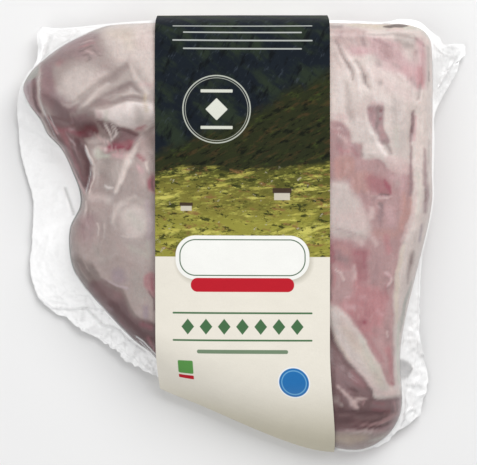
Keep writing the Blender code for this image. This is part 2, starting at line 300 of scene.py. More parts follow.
trial = stroke("pink", 1, [(0, 0, 1)])
print("a stroke 2 mm wide covers", cover(np.zeros(1), np.zeros(1), trial), "at its middle")

# %% [markdown]
# ## Tones
# Lamb in a vacuum pack is cool and pale: cream and grey fat, rose lean meat, mauve and brown where blood
# lies under the film. The tones are named once, as seen through the bag on a screen, so they hold the
# shade of sides, creases and hollows that face away from the light: shade, grey brown and rim grey are
# used as painted shade, and dim, brown and dark brown both as the meat's own dark colour and as painted
# shade. The bag's sheen adds a thin white veil over everything, so the paint
# under it is darker by as much.

# %% Named tones
TONES = {
    "white fat": (221, 209, 205), "cream fat": (213, 199, 193), "pale fat": (202, 189, 184),
    "warm fat": (205, 191, 178), "tan": (203, 186, 163), "grey fat": (176, 163, 158),
    "green fat": (190, 190, 178), "rim grey": (165, 163, 156), "face": (165, 150, 146),
    "shade": (147, 131, 128), "dim": (128, 111, 109), "grey brown": (124, 109, 105), "brown": (114, 88, 89),
    "dark brown": (92, 66, 68), "cavity": (84, 63, 54), "mauve": (150, 124, 126), "violet": (147, 131, 139),
    "pale violet": (182, 166, 171), "pink": (197, 162, 164), "blush": (204, 180, 177),
    "clay": (182, 142, 136), "lean": (172, 138, 138), "rose": (178, 126, 129), "deep rose": (157, 101, 107),
    "crimson": (148, 74, 89), "blood": (120, 52, 62),
}
VEIL, DARKEST_PAINT = 0.02, 0.004


def linear(tone):
    """A screen tone, 0 to 255, as linear light."""
    value = np.asarray(tone, float) / 255.0
    return np.where(value <= 0.04045, value / 12.92, ((value + 0.055) / 1.055) ** 2.4)


def paint_of(name):
    """The paint that looks like the named tone through the bag: its linear light less the veil."""
    return np.maximum(linear(TONES[name]) - VEIL, DARKEST_PAINT)


print(len(TONES), "tones, the palest painted as", paint_of("white fat").round(2))

# %% [markdown]
# ## The breast end, left of the sleeve
# A broad lobe of fat lies over the ribs, whose shadows are painted on it as slanting bars. Below it the
# belly folds under into a dark red wedge, darkened further with painted shade, and the lower face is
# grey-cream with a violet bloom. Each cell adds its marks to one list, in the order in which they are laid
# over one another.

# %% The lobe's ground, cream towards the sleeve, mauve and brown with painted shade towards the left edge
add_marks(
    patch("face", 18, [(-56, 150), (-56, 62), (-100, 66), (-130, 70), (-150, 92), (-140, 124), (-95, 150)]),
    patch("cream fat", 14, [(-92, 147), (-56, 149), (-55, 94), (-63, 93), (-70, 106), (-82, 114),
        (-90, 126)], 0.9, 0.5),
    stroke("warm fat", 8, [(-86, 134, 3), (-76, 132, 5), (-72, 124, 3)]),
    stroke("mauve", 8, [(-134, 112, 3), (-122, 119, 6), (-108, 124, 6), (-97, 130, 3)], 0.8),
    stroke("mauve", 4, [(-131, 118, 1.6), (-119, 125, 2.4), (-107, 131, 2.2), (-100, 134, 1)], 0.9),
    stroke("mauve", 5, [(-130, 112, 4), (-128, 100, 4.6), (-127, 90, 5)], 0.95),
    stroke("mauve", 9, [(-124, 90, 6), (-116, 80, 7), (-104, 76, 5)], 0.9),
    # Painted shade on the left wall, which faces away from the light: the brown and the dim stroke.
    stroke("brown", 7, [(-130, 92, 1.6), (-125, 86, 4), (-119, 79, 4.5), (-112, 75, 3)], 0.75),
    stroke("dim", 8, [(-134, 114, 2), (-122, 118, 4), (-110, 121, 3)], 0.35),
    stroke("rose", 5, [(-120, 114, 2.4)], 0.45),
    # Painted shade along the upper rim, where the meat turns down: the grey fat and rim grey strokes.
    stroke("grey fat", 3, [(-107, 134, 1), (-98, 137.6, 1.4), (-86, 140, 0.8)], 0.7),
    stroke("rim grey", 2, [(-133, 116, 0.8), (-127, 120.6, 1), (-121, 125, 0.6)]),
)

# %% Beyond the fold line: bare film over painted shade, the fold's painted highlight, the small brown lobe
add_marks(
    patch("rim grey", 2, [(-136.5, 113), (-141, 109), (-148, 101), (-143, 100), (-137, 103.5)], 0.95),
    patch("mauve", 2, [(-137, 104), (-143, 100), (-147, 95), (-144, 88), (-138, 80), (-134.5, 79),
        (-135.5, 92)], 0.95),
    stroke("brown", 2, [(-138.2, 103, 0.9), (-137, 95, 1.6), (-137.5, 86, 1.3), (-136, 82, 1)], 0.9),
    patch("pale violet", 2.4, [(-141, 104), (-148, 99), (-148, 93), (-143.5, 89), (-141, 94)], 0.7),
    stroke("brown", 1.4, [(-142, 99, 0.5), (-142.5, 94, 0.7)], 0.5),
    # The fold line: a dark brown gap of painted shade, and a pale painted highlight along its edge.
    stroke("dark brown", 1.6, [(-137.5, 97, 0.5), (-137.8, 91, 0.7), (-136.2, 84, 0.9), (-134.6, 82, 0.8)],
        0.8),
    stroke("pale fat", 1.2, [(-135.4, 114, 0.5), (-134.2, 100, 0.8), (-134, 90, 0.7), (-132.4, 80, 0.4)],
        0.75, 0.4),
)

# %% Blood under the skin
add_marks(
    stroke("mauve", 8, [(-106, 118, 4), (-95, 121, 4)], 0.5),
    stroke("rose", 1.6, [(-107, 124, 0.5), (-103, 124.5, 0.7), (-97, 126, 0.5)], 0.45),
    stroke("blush", 1.4, [(-106, 127, 0.5), (-98, 128, 0.7)], 0.5),
    stroke("dim", 9, [(-131, 113, 2.4), (-124, 117, 3), (-112, 117, 2.4)], 0.22),
    stroke("blush", 1.4, [(-103, 121, 0.4), (-98, 119.5, 0.7)], 0.5),
    stroke("dim", 1.4, [(-106.8, 120.2, 0.5), (-103.8, 121.3, 0.7), (-102.2, 123, 0.6),
        (-98.1, 123.3, 0.5)], 0.75),
    stroke("dim", 1.4, [(-104.2, 117.7, 0.5), (-101.2, 118.7, 0.6), (-99.1, 116.6, 0.6),
        (-102.2, 113.6, 0.4)], 0.75),
    stroke("dim", 1.4, [(-98.1, 121.3, 0.4), (-95, 119.7, 0.7), (-94, 117.6, 0.5), (-91.9, 117.6, 0.4)],
        0.7),
)

# %% The light oval, and the ribs' shadows with lit stripes between them
add_marks(
    patch("pale fat", 9, [(-121, 94), (-115, 106), (-104, 111), (-97, 110), (-94, 103), (-103, 92),
        (-113, 88)], 0.85, 0.6),
    patch("grey fat", 8, [(-98, 86), (-94, 97), (-84, 107), (-72, 113), (-64, 103), (-58, 96), (-60, 87),
        (-75, 84), (-88, 79)], 0.9, -0.4),
    stroke("shade", 4, [(-100, 90, 0.8), (-91, 98, 1.8), (-82, 105, 2.4), (-75, 110, 1.6)], 0.8, -0.9),
    stroke("shade", 3.5, [(-98, 84, 1), (-90, 90, 2.2), (-80, 95, 2.8), (-73, 98, 2.2), (-67, 94, 1.2)],
        0.95, -0.9),
    stroke("shade", 2.4, [(-97, 85, 1.2), (-90, 87, 1.6), (-83, 86.4, 1.2), (-77, 88.8, 1.5),
        (-70, 89.4, 1.6), (-64, 88.8, 1.2)], 0.95, -0.7),
    stroke("dim", 3, [(-80, 95.5, 0.8), (-74, 98.5, 1.3)]),
    stroke("pale fat", 2.4, [(-90, 90, 0.5), (-82, 91.8, 0.7), (-67, 92, 0.6)], 0.35, 0.3),
    stroke("cream fat", 4.5, [(-111, 88, 0.8), (-104, 94, 1.6), (-97, 101, 1.8), (-90, 106, 1)], 0.5, 0.5),
    stroke("grey fat", 2, [(-110, 85.5, 0.6), (-102, 92.5, 1), (-94, 99, 0.6)], 0.8, -0.5),
    stroke("cream fat", 4, [(-106.5, 80.5, 1), (-100, 87, 2), (-94, 94.5, 1.8), (-88.5, 99, 0.8)],
        0.75, 0.5),
    stroke("cream fat", 2.4, [(-118, 85, 0.6), (-113, 84, 1), (-108, 87, 0.5)], 0.5, 0.3),
    stroke("shade", 3, [(-109, 79, 1), (-103, 82, 1.2), (-98, 84, 0.6)], 0.6, -0.4),
    stroke("cream fat", 2.5, [(-74, 112, 0.6), (-69, 102, 1.4), (-62, 93, 1.2)], 0.8, 0.6),
    stroke("pink", 4, [(-66, 99, 1), (-60, 98, 1.6)], 0.45),
)

# %% The bright fat over the fold, the warm seam beside it
add_marks(
    patch("white fat", 2.6, [(-96, 81), (-90, 82.4), (-84, 84.2), (-79, 85.4), (-75, 86.8), (-66, 86.6),
        (-58, 86), (-57, 76), (-62, 69), (-67, 67.6), (-71, 68.4), (-76, 69.6), (-80, 70.8), (-85, 73.4),
        (-90, 75.4), (-96, 76)], 0.98, 0.8),
    stroke("blush", 3, [(-95.4, 81, 0.9), (-93.6, 77.6, 1.6)], 0.8),
    stroke("green fat", 3, [(-89.4, 80.6, 1), (-88.8, 75.6, 1.4)], 0.7),
    stroke("white fat", 3, [(-85, 78.6, 2.4), (-79.6, 79, 3.4)], 0.9),
    stroke("grey fat", 4, [(-68.5, 83, 2.4), (-67.5, 75, 3)]),
    stroke("tan", 2.2, [(-63, 92, 0.8), (-63, 81, 1)], 0.9),
    stroke("shade", 2, [(-63.4, 91, 0.5), (-63.4, 83, 0.7)], 0.4),
    stroke("cream fat", 3, [(-62.6, 79, 1.2), (-62.6, 71, 1.2)], 0.7),
)

# %% The wedge of dark meat and painted shade under the lobe, its blood, shaded inner side and lit outer edge
add_marks(
    # The wedge is the lobe's lower wall: its brown is partly the meat's own colour, partly painted shade.
    patch("brown", 3, [(-134, 79), (-124, 79), (-113, 74), (-104, 74), (-97, 74), (-95, 68), (-101, 66),
        (-105, 63), (-103, 60), (-103.6, 55), (-99.6, 46.5), (-100.5, 41), (-103, 29), (-109, 33),
        (-113, 42), (-117, 51), (-121, 58), (-126, 65), (-132, 74)], 0.97),
    stroke("dark brown", 3, [(-109, 62, 1.6), (-105, 54, 1.8), (-101.5, 47, 1.8), (-102, 40, 1.6),
        (-104, 32, 0.9)], 0.97, -0.8),
    stroke("dark brown", 4, [(-116, 67, 1.2), (-110, 61, 2), (-106, 55, 1.6)], 0.55),
    stroke("deep rose", 4, [(-124, 71, 1), (-118, 66, 1.6), (-114, 56, 1.4), (-110, 46, 1.4),
        (-107, 37, 1)], 0.45),
    stroke("mauve", 1.6, [(-117, 68, 0.4), (-111.5, 60, 0.6), (-108.5, 50, 0.5)], 0.55, 0.3),
    stroke("brown", 1.6, [(-113, 66, 0.4), (-112, 57, 0.7), (-108, 46, 0.6), (-105.6, 37, 0.4)], 0.7, -0.4),
    # A lighter stroke over the fold, painted light that lifts the fold's shade.
    stroke("face", 4, [(-113, 78.6, 0.8), (-105, 79.5, 1.6), (-98, 78.4, 1.2)], 0.75),
    stroke("pink", 1.2, [(-131, 80, 0.3), (-127.5, 74, 0.5), (-123, 67, 0.4)], 0.8, 0.4),
    stroke("pink", 2, [(-120, 57, 0.8), (-116, 48, 1.2), (-112, 38, 1.1), (-106, 28, 0.7)], 0.85, 0.4),
    stroke("mauve", 2, [(-113, 74, 0.5), (-108, 77, 0.9), (-102, 78.5, 0.6)], 0.85, 0.4),
    stroke("blood", 2.6, [(-107.5, 68, 1.4), (-103.5, 70, 2.4), (-99, 70, 2), (-96.5, 69, 1.2)],
        0.65, -0.6),
    stroke("crimson", 3, [(-121, 69, 1), (-114, 69, 1), (-107, 66, 1.4), (-101, 66.5, 1.2)], 0.4),
    stroke("pale fat", 2.6, [(-102, 61.5, 0.8), (-99, 62.4, 2), (-95, 63, 1.8)], 0.85, 0.5),
)

# %% The comb of small folds, light ridges over gaps dark with painted shade
add_marks(
    patch("shade", 2, [(-96, 75), (-91, 74.4), (-88, 73), (-85, 72.8), (-81, 70.6), (-78, 70), (-77.5, 66),
        (-82, 64.5), (-88, 63), (-94, 66)], 0.8),
    stroke("brown", 1.4, [(-95, 74.4, 0.6), (-92, 73.2, 1), (-91.4, 70.6, 0.7)], 0.9, -0.8),
    stroke("brown", 1, [(-90.4, 70, 0.5), (-89.4, 67, 0.7)], 0.8, -0.6),
    stroke("brown", 1, [(-87, 71.6, 0.9), (-86.3, 69, 0.6), (-85.4, 66.4, 0.5)], 0.85, -0.8),
    stroke("brown", 1, [(-83.9, 70.6, 0.4), (-83.7, 67, 0.5)], 0.75, -0.6),
    stroke("brown", 1.2, [(-80.6, 70.2, 0.8), (-80.8, 67.6, 0.7)], 0.85, -0.8),
    stroke("white fat", 1.2, [(-90.6, 72.6, 0.5), (-89, 70.4, 0.8), (-87.6, 67.6, 0.8), (-86.4, 65, 0.7)],
        0.95, 0.8),
    stroke("pale fat", 1.2, [(-85.3, 71.8, 0.5), (-84.8, 69, 0.6), (-84.7, 66.6, 0.5)], 0.9, 0.7),
    stroke("white fat", 1.2, [(-83, 70.6, 0.6), (-82.2, 68.2, 0.8), (-82.6, 65.6, 0.8), (-84.8, 63.4, 0.7),
        (-88.4, 60.6, 0.6)], 0.95, 0.8),
    stroke("pale fat", 1.2, [(-78.6, 70, 0.5), (-78, 66.4, 0.5)], 0.7, 0.5),
    stroke("blush", 2, [(-97, 66, 0.8), (-93, 62.5, 1.2), (-88, 61.5, 0.8)], 0.8, 0.4),
)

# %% The pocket under the bright fat, in painted shade: a grey-mauve roof and a red floor
add_marks(
    patch("mauve", 1.4, [(-80, 65), (-79, 70), (-76, 69.5), (-71, 68), (-66.5, 65.2), (-69, 62),
        (-72, 58.5), (-75, 56.8), (-83, 56), (-91, 55.3), (-87, 59), (-83, 62)], 0.98, -2.6),
    patch("deep rose", 2, [(-89, 56.6), (-80, 57), (-74, 57.5), (-70, 61), (-73, 62.5), (-80, 61),
        (-87, 60)], 0.9),
    stroke("brown", 1.4, [(-78.5, 69, 0.6), (-73, 67, 0.9), (-68, 65, 0.5)], 0.85),
    stroke("crimson", 1.6, [(-90, 57.2, 0.8), (-85, 58.6, 1.6), (-79, 58.4, 1)], 0.95, -0.4),
    stroke("crimson", 1.4, [(-76.5, 57.6, 0.6), (-73.5, 59.2, 0.9), (-71.5, 61, 0.5)], 0.7, -0.3),
    stroke("pink", 1.4, [(-91, 56, 0.5), (-84, 56.3, 0.6), (-78.5, 57, 0.6)], 0.8, 0.4),
    stroke("blush", 3, [(-96, 58, 1.4), (-91, 57.5, 1.2)], 0.8),
    stroke("pink", 3.5, [(-85, 53, 1.4), (-79, 52.5, 2), (-73, 55, 1)], 0.75),
    stroke("green fat", 4, [(-96, 57, 1.6), (-95, 52, 2.4), (-89, 52, 1.2)], 0.8),
)

# %% The waist: its lit lip, the hollow in painted shade with a painted glint below, the light ridges
add_marks(
    stroke("pale fat", 1.2, [(-104, 59, 0.5), (-100, 51, 0.7), (-97.3, 45, 0.9), (-98.8, 38, 0.8),
        (-102, 28, 0.6)], 0.95, 0.8),
    patch("grey fat", 5, [(-96, 49), (-86, 49), (-79, 46), (-82, 34), (-88, 30), (-98, 31), (-98, 40)],
        0.75, -0.8),
    stroke("shade", 6, [(-93, 41, 1.6), (-88, 36, 2.2), (-86, 33, 1.4)], 0.35),
    stroke("white fat", 1.6, [(-91, 33, 0.4), (-88.5, 31.6, 0.6), (-85.5, 31.2, 0.4)], 0.8, 0.4),
    stroke("pale fat", 6, [(-102, 25, 2.2), (-94, 25, 3), (-88, 23, 2)], 0.75),
    stroke("cream fat", 3, [(-66, 67, 0.6), (-69, 62, 1), (-72.5, 55, 2.2), (-77, 45, 2.6), (-80, 37, 2.2),
        (-83, 28, 1.4)], 0.9, 0.9),
    stroke("pale fat", 3, [(-70, 24, 1.6), (-80, 20, 1.8), (-84, 14, 1.4), (-86, 8, 0.8)], 0.8, 0.6),
    stroke("grey fat", 5, [(-77, 22, 1.4), (-71, 22.5, 2.4), (-65, 21.5, 2)], 0.85),
)

# %% Reds that show along the sleeve
add_marks(
    stroke("blush", 6, [(-65, 62, 2.4), (-65, 48, 2.6), (-65, 34, 2)], 0.5),
    stroke("rose", 2.6, [(-69, 69, 1), (-66, 69.5, 1.4), (-64, 71, 0.6)], 0.85),
    stroke("deep rose", 2.4, [(-68.5, 53.5, 1), (-66.5, 51, 1.6), (-65, 49, 0.9)], 0.85),
    stroke("dim", 1.6, [(-62, 54, 0.4), (-60, 51.5, 0.7), (-59, 49, 0.5)]),
    stroke("pink", 3, [(-68, 44, 1.4), (-66, 41, 1.2)], 0.8),
    stroke("cream fat", 2, [(-63.5, 47, 1), (-62.5, 43, 1)], 0.8, 0.4),
    patch("deep rose", 3.4, [(-58, 39), (-61, 37), (-62, 34), (-60.5, 29), (-58, 28), (-56, 33)], 0.8),
    stroke("crimson", 2, [(-60, 36, 0.6), (-60.2, 31, 0.7)]),
    stroke("dark brown", 1.8, [(-58.8, 37, 0.7), (-58.6, 30, 0.8)], 0.7),
)

# %% The pale patch, the streaks left of it and the rim outside, darker with painted shade
add_marks(
    patch("pale fat", 8, [(-82, 14), (-76, 18), (-66, 18.5), (-60, 11), (-61, 2), (-70, -4), (-77, -2),
        (-81, 8)], 0.9, 0.5),
    stroke("pale fat", 3, [(-84, 20, 0.8), (-86, 12, 1.2), (-84, 4, 0.8)], 0.5, 0.4),
    stroke("pale violet", 4, [(-62, 22, 1.2), (-61, 8, 1.8), (-61, -8, 1.2)]),
    stroke("green fat", 8, [(-74, 12, 2.4), (-68, 6, 3)], 0.4),
    stroke("grey fat", 2, [(-84, 8, 0.6), (-82, 3, 0.9), (-77, 0, 0.6)], 0.6, -0.4),
    stroke("pale fat", 1.6, [(-80, -1, 0.5), (-75, -1.6, 0.8), (-69, -1.2, 0.5)], 0.8, 0.4),
    # Painted shade on the left rim, where the meat turns down.
    stroke("grey brown", 9, [(-112, 20, 1), (-115, 10, 3), (-118, -2, 3.6), (-117, -12, 3),
        (-113, -20, 1.5)], 0.75),
    stroke("pale fat", 1.6, [(-104.5, 22, 0.6), (-104.5, 12, 0.9), (-105.5, 6, 0.4)], 0.85, 0.4),
    stroke("dim", 1.6, [(-102.5, 17, 0.4), (-102, 10, 0.8), (-101, 5, 0.5)], 0.65, -0.4),
    stroke("dim", 1.4, [(-99.5, 16, 0.4), (-99.5, 9, 0.7), (-98.5, 6, 0.4)], 0.55, -0.4),
    patch("mauve", 8, [(-107, 12), (-98, 12), (-96.5, 0), (-99, -6), (-107, -3)], 0.8),
    stroke("mauve", 1.2, [(-105.4, 7, 0.5), (-104.6, -3, 0.5)], 0.8, -0.3),
    stroke("mauve", 1.2, [(-101, 7, 0.6), (-100.4, -2, 0.5)], 0.9, -0.4),
    stroke("cream fat", 1.2, [(-96.2, 7, 0.4), (-95.2, 3, 0.6), (-95.4, -1, 0.3)], 0.85, 0.4),
    stroke("shade", 1.6, [(-93.6, 8, 0.5), (-93, 2, 0.7), (-94.5, -7, 0.5)], 0.7, -0.4),
    stroke("dim", 1.6, [(-95.2, -10, 0.7), (-94.8, -12.5, 0.8)], 0.75, -0.4),
    stroke("pale fat", 1.6, [(-91.5, 7, 0.5), (-91.5, -2, 0.7), (-93, -8, 0.4)], 0.5, 0.3),
    stroke("shade", 2, [(-89, 10, 0.5), (-88.5, 0, 0.7)], 0.45),
    stroke("mauve", 3, [(-106, -7, 1), (-100, -8, 1), (-104, -12, 0.8)], 0.45),
)

# %% The quiet field below, grey and a little green, with two violet bruises
add_marks(
    patch("grey fat", 9, [(-86, -3), (-70, -4), (-59, -4), (-59, -20), (-72, -20), (-84, -14)], 0.75),
    stroke("green fat", 5, [(-62, -6, 1.2), (-62, -14, 1.6), (-74, -9, 1.6)], 0.4),
    stroke("rim grey", 9, [(-70, -28, 4), (-68, -40, 5)], 0.4),
    patch("face", 20, [(-100, 4), (-86, -2), (-84, -16), (-92, -26), (-104, -14)], 0.5),
    stroke("rim grey", 5, [(-97, -8, 1.6), (-93, -18, 2), (-87, -16, 1.2)], 0.4),
    stroke("shade", 4, [(-88, -19, 1.2), (-80, -16, 1.4), (-74, -20, 1)], 0.3),
    patch("shade", 24, [(-108, 6), (-66, -12), (-60, -56), (-76, -50), (-98, -24)], 0.3),
    patch("violet", 5, [(-86, -24), (-79, -23), (-77, -30), (-80, -33), (-85, -31)], 0.65),
    stroke("pale violet", 1.8, [(-91, -30.5, 0.5), (-84, -33.5, 0.8), (-77, -36, 0.8)], 0.7),
    stroke("violet", 4, [(-63.5, -48, 1.6), (-63, -55, 1.6)], 0.8),
    patch("deep rose", 3, [(-65.5, -27), (-57, -25), (-57, -42), (-60, -40.5), (-63.5, -36)], 0.7),
    stroke("crimson", 2, [(-59.5, -29, 0.8), (-58.8, -36, 1)], 0.55),
    stroke("brown", 1.6, [(-61.5, -38, 0.4), (-58.5, -42, 0.6), (-57.5, -50, 0.6)], 0.85, -0.4),
)

# %% The shaded end, where the meat turns under
add_marks(
    patch("grey brown", 2.4, [(-112, -13), (-105, -16), (-100, -19), (-95.5, -24.5), (-92, -29.5),
        (-86.5, -33), (-80.5, -35.5), (-77, -41), (-74, -48), (-70.5, -53.5), (-67, -56), (-62, -58),
        (-55, -61), (-55, -92), (-68, -84), (-84, -70), (-100, -53), (-109, -42), (-117, -26)], 0.97),
    stroke("face", 5, [(-112, -13, 1.6), (-105, -16, 1.8), (-101, -19, 0.8)], 0.7),
    stroke("face", 1.6, [(-108.5, -19, 0.5), (-105.5, -26, 0.6), (-102.5, -30, 0.4)], 0.6, 0.4),
    stroke("face", 1.6, [(-105, -18.5, 0.4), (-101.5, -25, 0.5)], 0.5, 0.4),
    stroke("shade", 3, [(-107, -20, 1.2), (-104, -26, 1.4), (-101, -31, 1.2)], 0.5),
    stroke("dim", 3, [(-111, -25, 1.2), (-107, -33, 1.4), (-102, -39, 1)]),
    patch("brown", 4, [(-101, -32), (-92, -31), (-84, -36), (-79, -42), (-76, -49), (-72, -55), (-56, -60),
        (-56, -90), (-72, -83), (-90, -66), (-106, -43)], 0.97),
    patch("dark brown", 5, [(-90, -46), (-79, -45), (-73, -56), (-57, -60), (-57, -86), (-69, -78),
        (-84, -65)], 0.85),
    stroke("grey brown", 3, [(-92, -32.5, 0.8), (-86, -35, 1), (-82, -38, 0.6)]),
    stroke("crimson", 4, [(-66, -60, 1.4), (-60, -62, 1.6)], 0.4),
    stroke("blood", 3, [(-82, -58, 0.8), (-77, -63, 1)], 0.4),
    stroke("deep rose", 3, [(-62, -70, 1.2), (-59, -78, 1)]),
    stroke("violet", 2.4, [(-90, -49, 0.8), (-87, -51, 1)], 0.35),
)

# %% [markdown]
# ## The loin side, right of the sleeve
# The upper part is white fat with soft creases. Below lies the loin's rose lean meat under a clear skin,
# with a fat band along the outer edge and another, slanting one where the lean meat ends. The cut end
# below that is dark and moist, and its brown is also painted shade, as it faces down and away from
# the light.

# %% The fat of the upper loin, and its edge along the sleeve
add_marks(
    patch("cream fat", 20, [(56, 150), (56, 62), (80, 58), (100, 40), (132, 40), (132, 150)]),
    stroke("cream fat", 1.4, [(59.6, 137, 0.9), (59.6, 60, 0.9), (59.6, 10, 0.9)]),
)

# %% The top edge: mauve corner, crease grey with painted shade, tan rind with the bone's cavity in painted shade
add_marks(
    patch("lean", 7, [(60, 137), (82, 135), (84, 126), (80, 121), (64, 121)], 0.55),
    stroke("shade", 3, [(60, 138.5, 1.4), (66, 138.5, 1.4)], 0.7),
    stroke("shade", 3, [(80, 133, 1), (80.5, 124, 1)], 0.5),
    stroke("warm fat", 2.2, [(70, 139.6, 0.8), (83, 138.4, 1.4), (96, 137.6, 1.8), (112, 138.4, 1.8),
        (119, 137, 1)], 0.9),
    stroke("tan", 1.6, [(72, 140.4, 0.5), (90, 139.4, 0.8), (114, 140, 0.8)], 0.8),
    stroke("green fat", 3, [(109, 138, 1.6), (115, 137, 1.2)]),
    stroke("green fat", 3, [(113, 141, 1.2), (120, 137.5, 1.6), (125, 132, 1.2)]),
    stroke("cavity", 1.6, [(95, 138.4, 0.7), (100, 138.8, 1.7), (106, 139.4, 1.9), (110, 139.8, 0.9)],
        0.98, -0.8),
    stroke("pink", 3, [(97, 135.6, 0.8), (106, 136, 1)], 0.4),
    stroke("shade", 2.4, [(84, 132, 0.6), (96, 132, 0.9), (108, 132.5, 0.9), (117, 129, 0.9),
        (121, 125, 0.6)], 0.6, -0.5),
    patch("grey fat", 4, [(101, 132), (115, 131), (115, 124), (106, 123)], 0.85),
    stroke("dim", 1.6, [(115.5, 129.4, 0.5), (118.5, 127.6, 0.8), (121.4, 124.6, 0.6)], 0.7, -0.5),
    stroke("mauve", 3, [(66, 134, 1.2), (65.4, 130, 1)], 0.45),
    stroke("mauve", 2.4, [(79.6, 129, 0.9), (81, 124, 1.2)], 0.5),
    stroke("shade", 3, [(69, 129, 0.9), (74, 127.4, 1.2)], 0.35),
)

# %% The pink bloom that falls from the middle to the corner
add_marks(
    stroke("pink", 5, [(90, 111, 1.8), (99, 109, 2.6), (107, 105, 2.2)]),
    patch("pink", 6, [(72, 123), (84, 124), (84, 130), (92, 130), (104, 126), (108, 117), (116, 113),
        (116, 129), (121, 128), (121, 96), (115, 96), (110, 101), (103, 108), (94, 113), (86, 119),
        (76, 117)], 0.85),
    stroke("pink", 3, [(73, 120, 1.6), (82, 120, 1.6)], 0.7),
    stroke("lean", 5, [(93, 124, 1.6), (98, 119, 3.6), (102, 114, 2.6)], 0.55),
    stroke("lean", 4, [(115, 121, 1.6), (114, 115, 1.4)], 0.5),
    patch("lean", 10, [(84, 124), (100, 124), (118, 122), (118, 100), (106, 104), (92, 113)], 0.25),
    stroke("blush", 2.4, [(100, 123.5, 0.8), (107, 121, 0.8)]),
    stroke("mauve", 2.4, [(88, 129, 0.7), (94, 126.6, 1.2), (99, 124, 0.7)], 0.45),
    stroke("shade", 2.4, [(100, 113, 0.6), (105, 109.6, 0.8)], 0.5),
    stroke("rose", 6, [(107, 109, 2.4), (113, 106, 3.2), (117.5, 102, 3.2)], 0.4),
    stroke("shade", 3, [(112, 102, 0.9), (115, 98, 1)], 0.45),
    stroke("rose", 3.5, [(117.5, 109, 1.8), (117.6, 100, 2.4)], 0.75),
    stroke("white fat", 2.5, [(104, 105, 1.2), (107.5, 102.5, 1.2)], 0.6, 0.3),
    stroke("blush", 12, [(86, 108, 4), (98, 98, 6), (108, 92, 4)], 0.5),
    stroke("grey fat", 3, [(124.5, 125, 0.8), (124.5, 108, 1.2), (124, 98, 0.8)], 0.7),
    stroke("dim", 1.4, [(125, 107, 0.5), (125, 102, 0.6)]),
    stroke("rose", 3, [(116.5, 98, 1.2), (117, 94, 0.8)]),
    stroke("shade", 2, [(117.5, 99, 0.5), (117, 93, 1), (115, 88, 0.6)], 0.75, -0.5),
)

# %% Two creases in painted shade with lit ridges beside them, and two dimples in painted shade
add_marks(
    stroke("shade", 2.2, [(62.5, 127, 0.5), (67, 118, 0.8), (70, 112, 1), (72.4, 107.6, 0.9),
        (73, 102, 0.4)], 0.85, -1),
    stroke("shade", 2.6, [(75.5, 114, 0.4), (79, 108.5, 0.9), (80.6, 104, 1.2), (81.4, 99, 1.1),
        (83.6, 95.6, 0.4)], 0.85, -0.9),
    stroke("dim", 1.6, [(81, 103.5, 0.6), (81.6, 100, 0.6)]),
    stroke("white fat", 3, [(66, 123, 0.7), (72, 114, 1.2), (76, 106.5, 1.6), (77.4, 97, 1.4),
        (77.6, 88, 0.8)], 0.6, 0.7),
    stroke("grey fat", 4, [(62, 118, 1.4), (65, 112, 1.2)]),
    stroke("white fat", 4, [(63.5, 105, 1.4), (64.5, 98, 2.2), (64, 86, 1.6)], 0.6, 0.5),
    stroke("white fat", 2.4, [(82, 112, 0.6), (85, 105, 1), (85.5, 98, 0.7)], 0.6, 0.4),
    stroke("grey fat", 4, [(69.5, 98, 1.2), (70.8, 84, 2), (73, 75, 1.8)], 0.85, -0.3),
    stroke("pale fat", 5, [(71, 90, 2), (85, 91, 2)], 0.5),
    stroke("shade", 4, [(90.6, 112, 1.8)], 0.6, -0.5),
    stroke("shade", 3, [(90.4, 99.4, 1.6)], 0.6, -0.5),
)

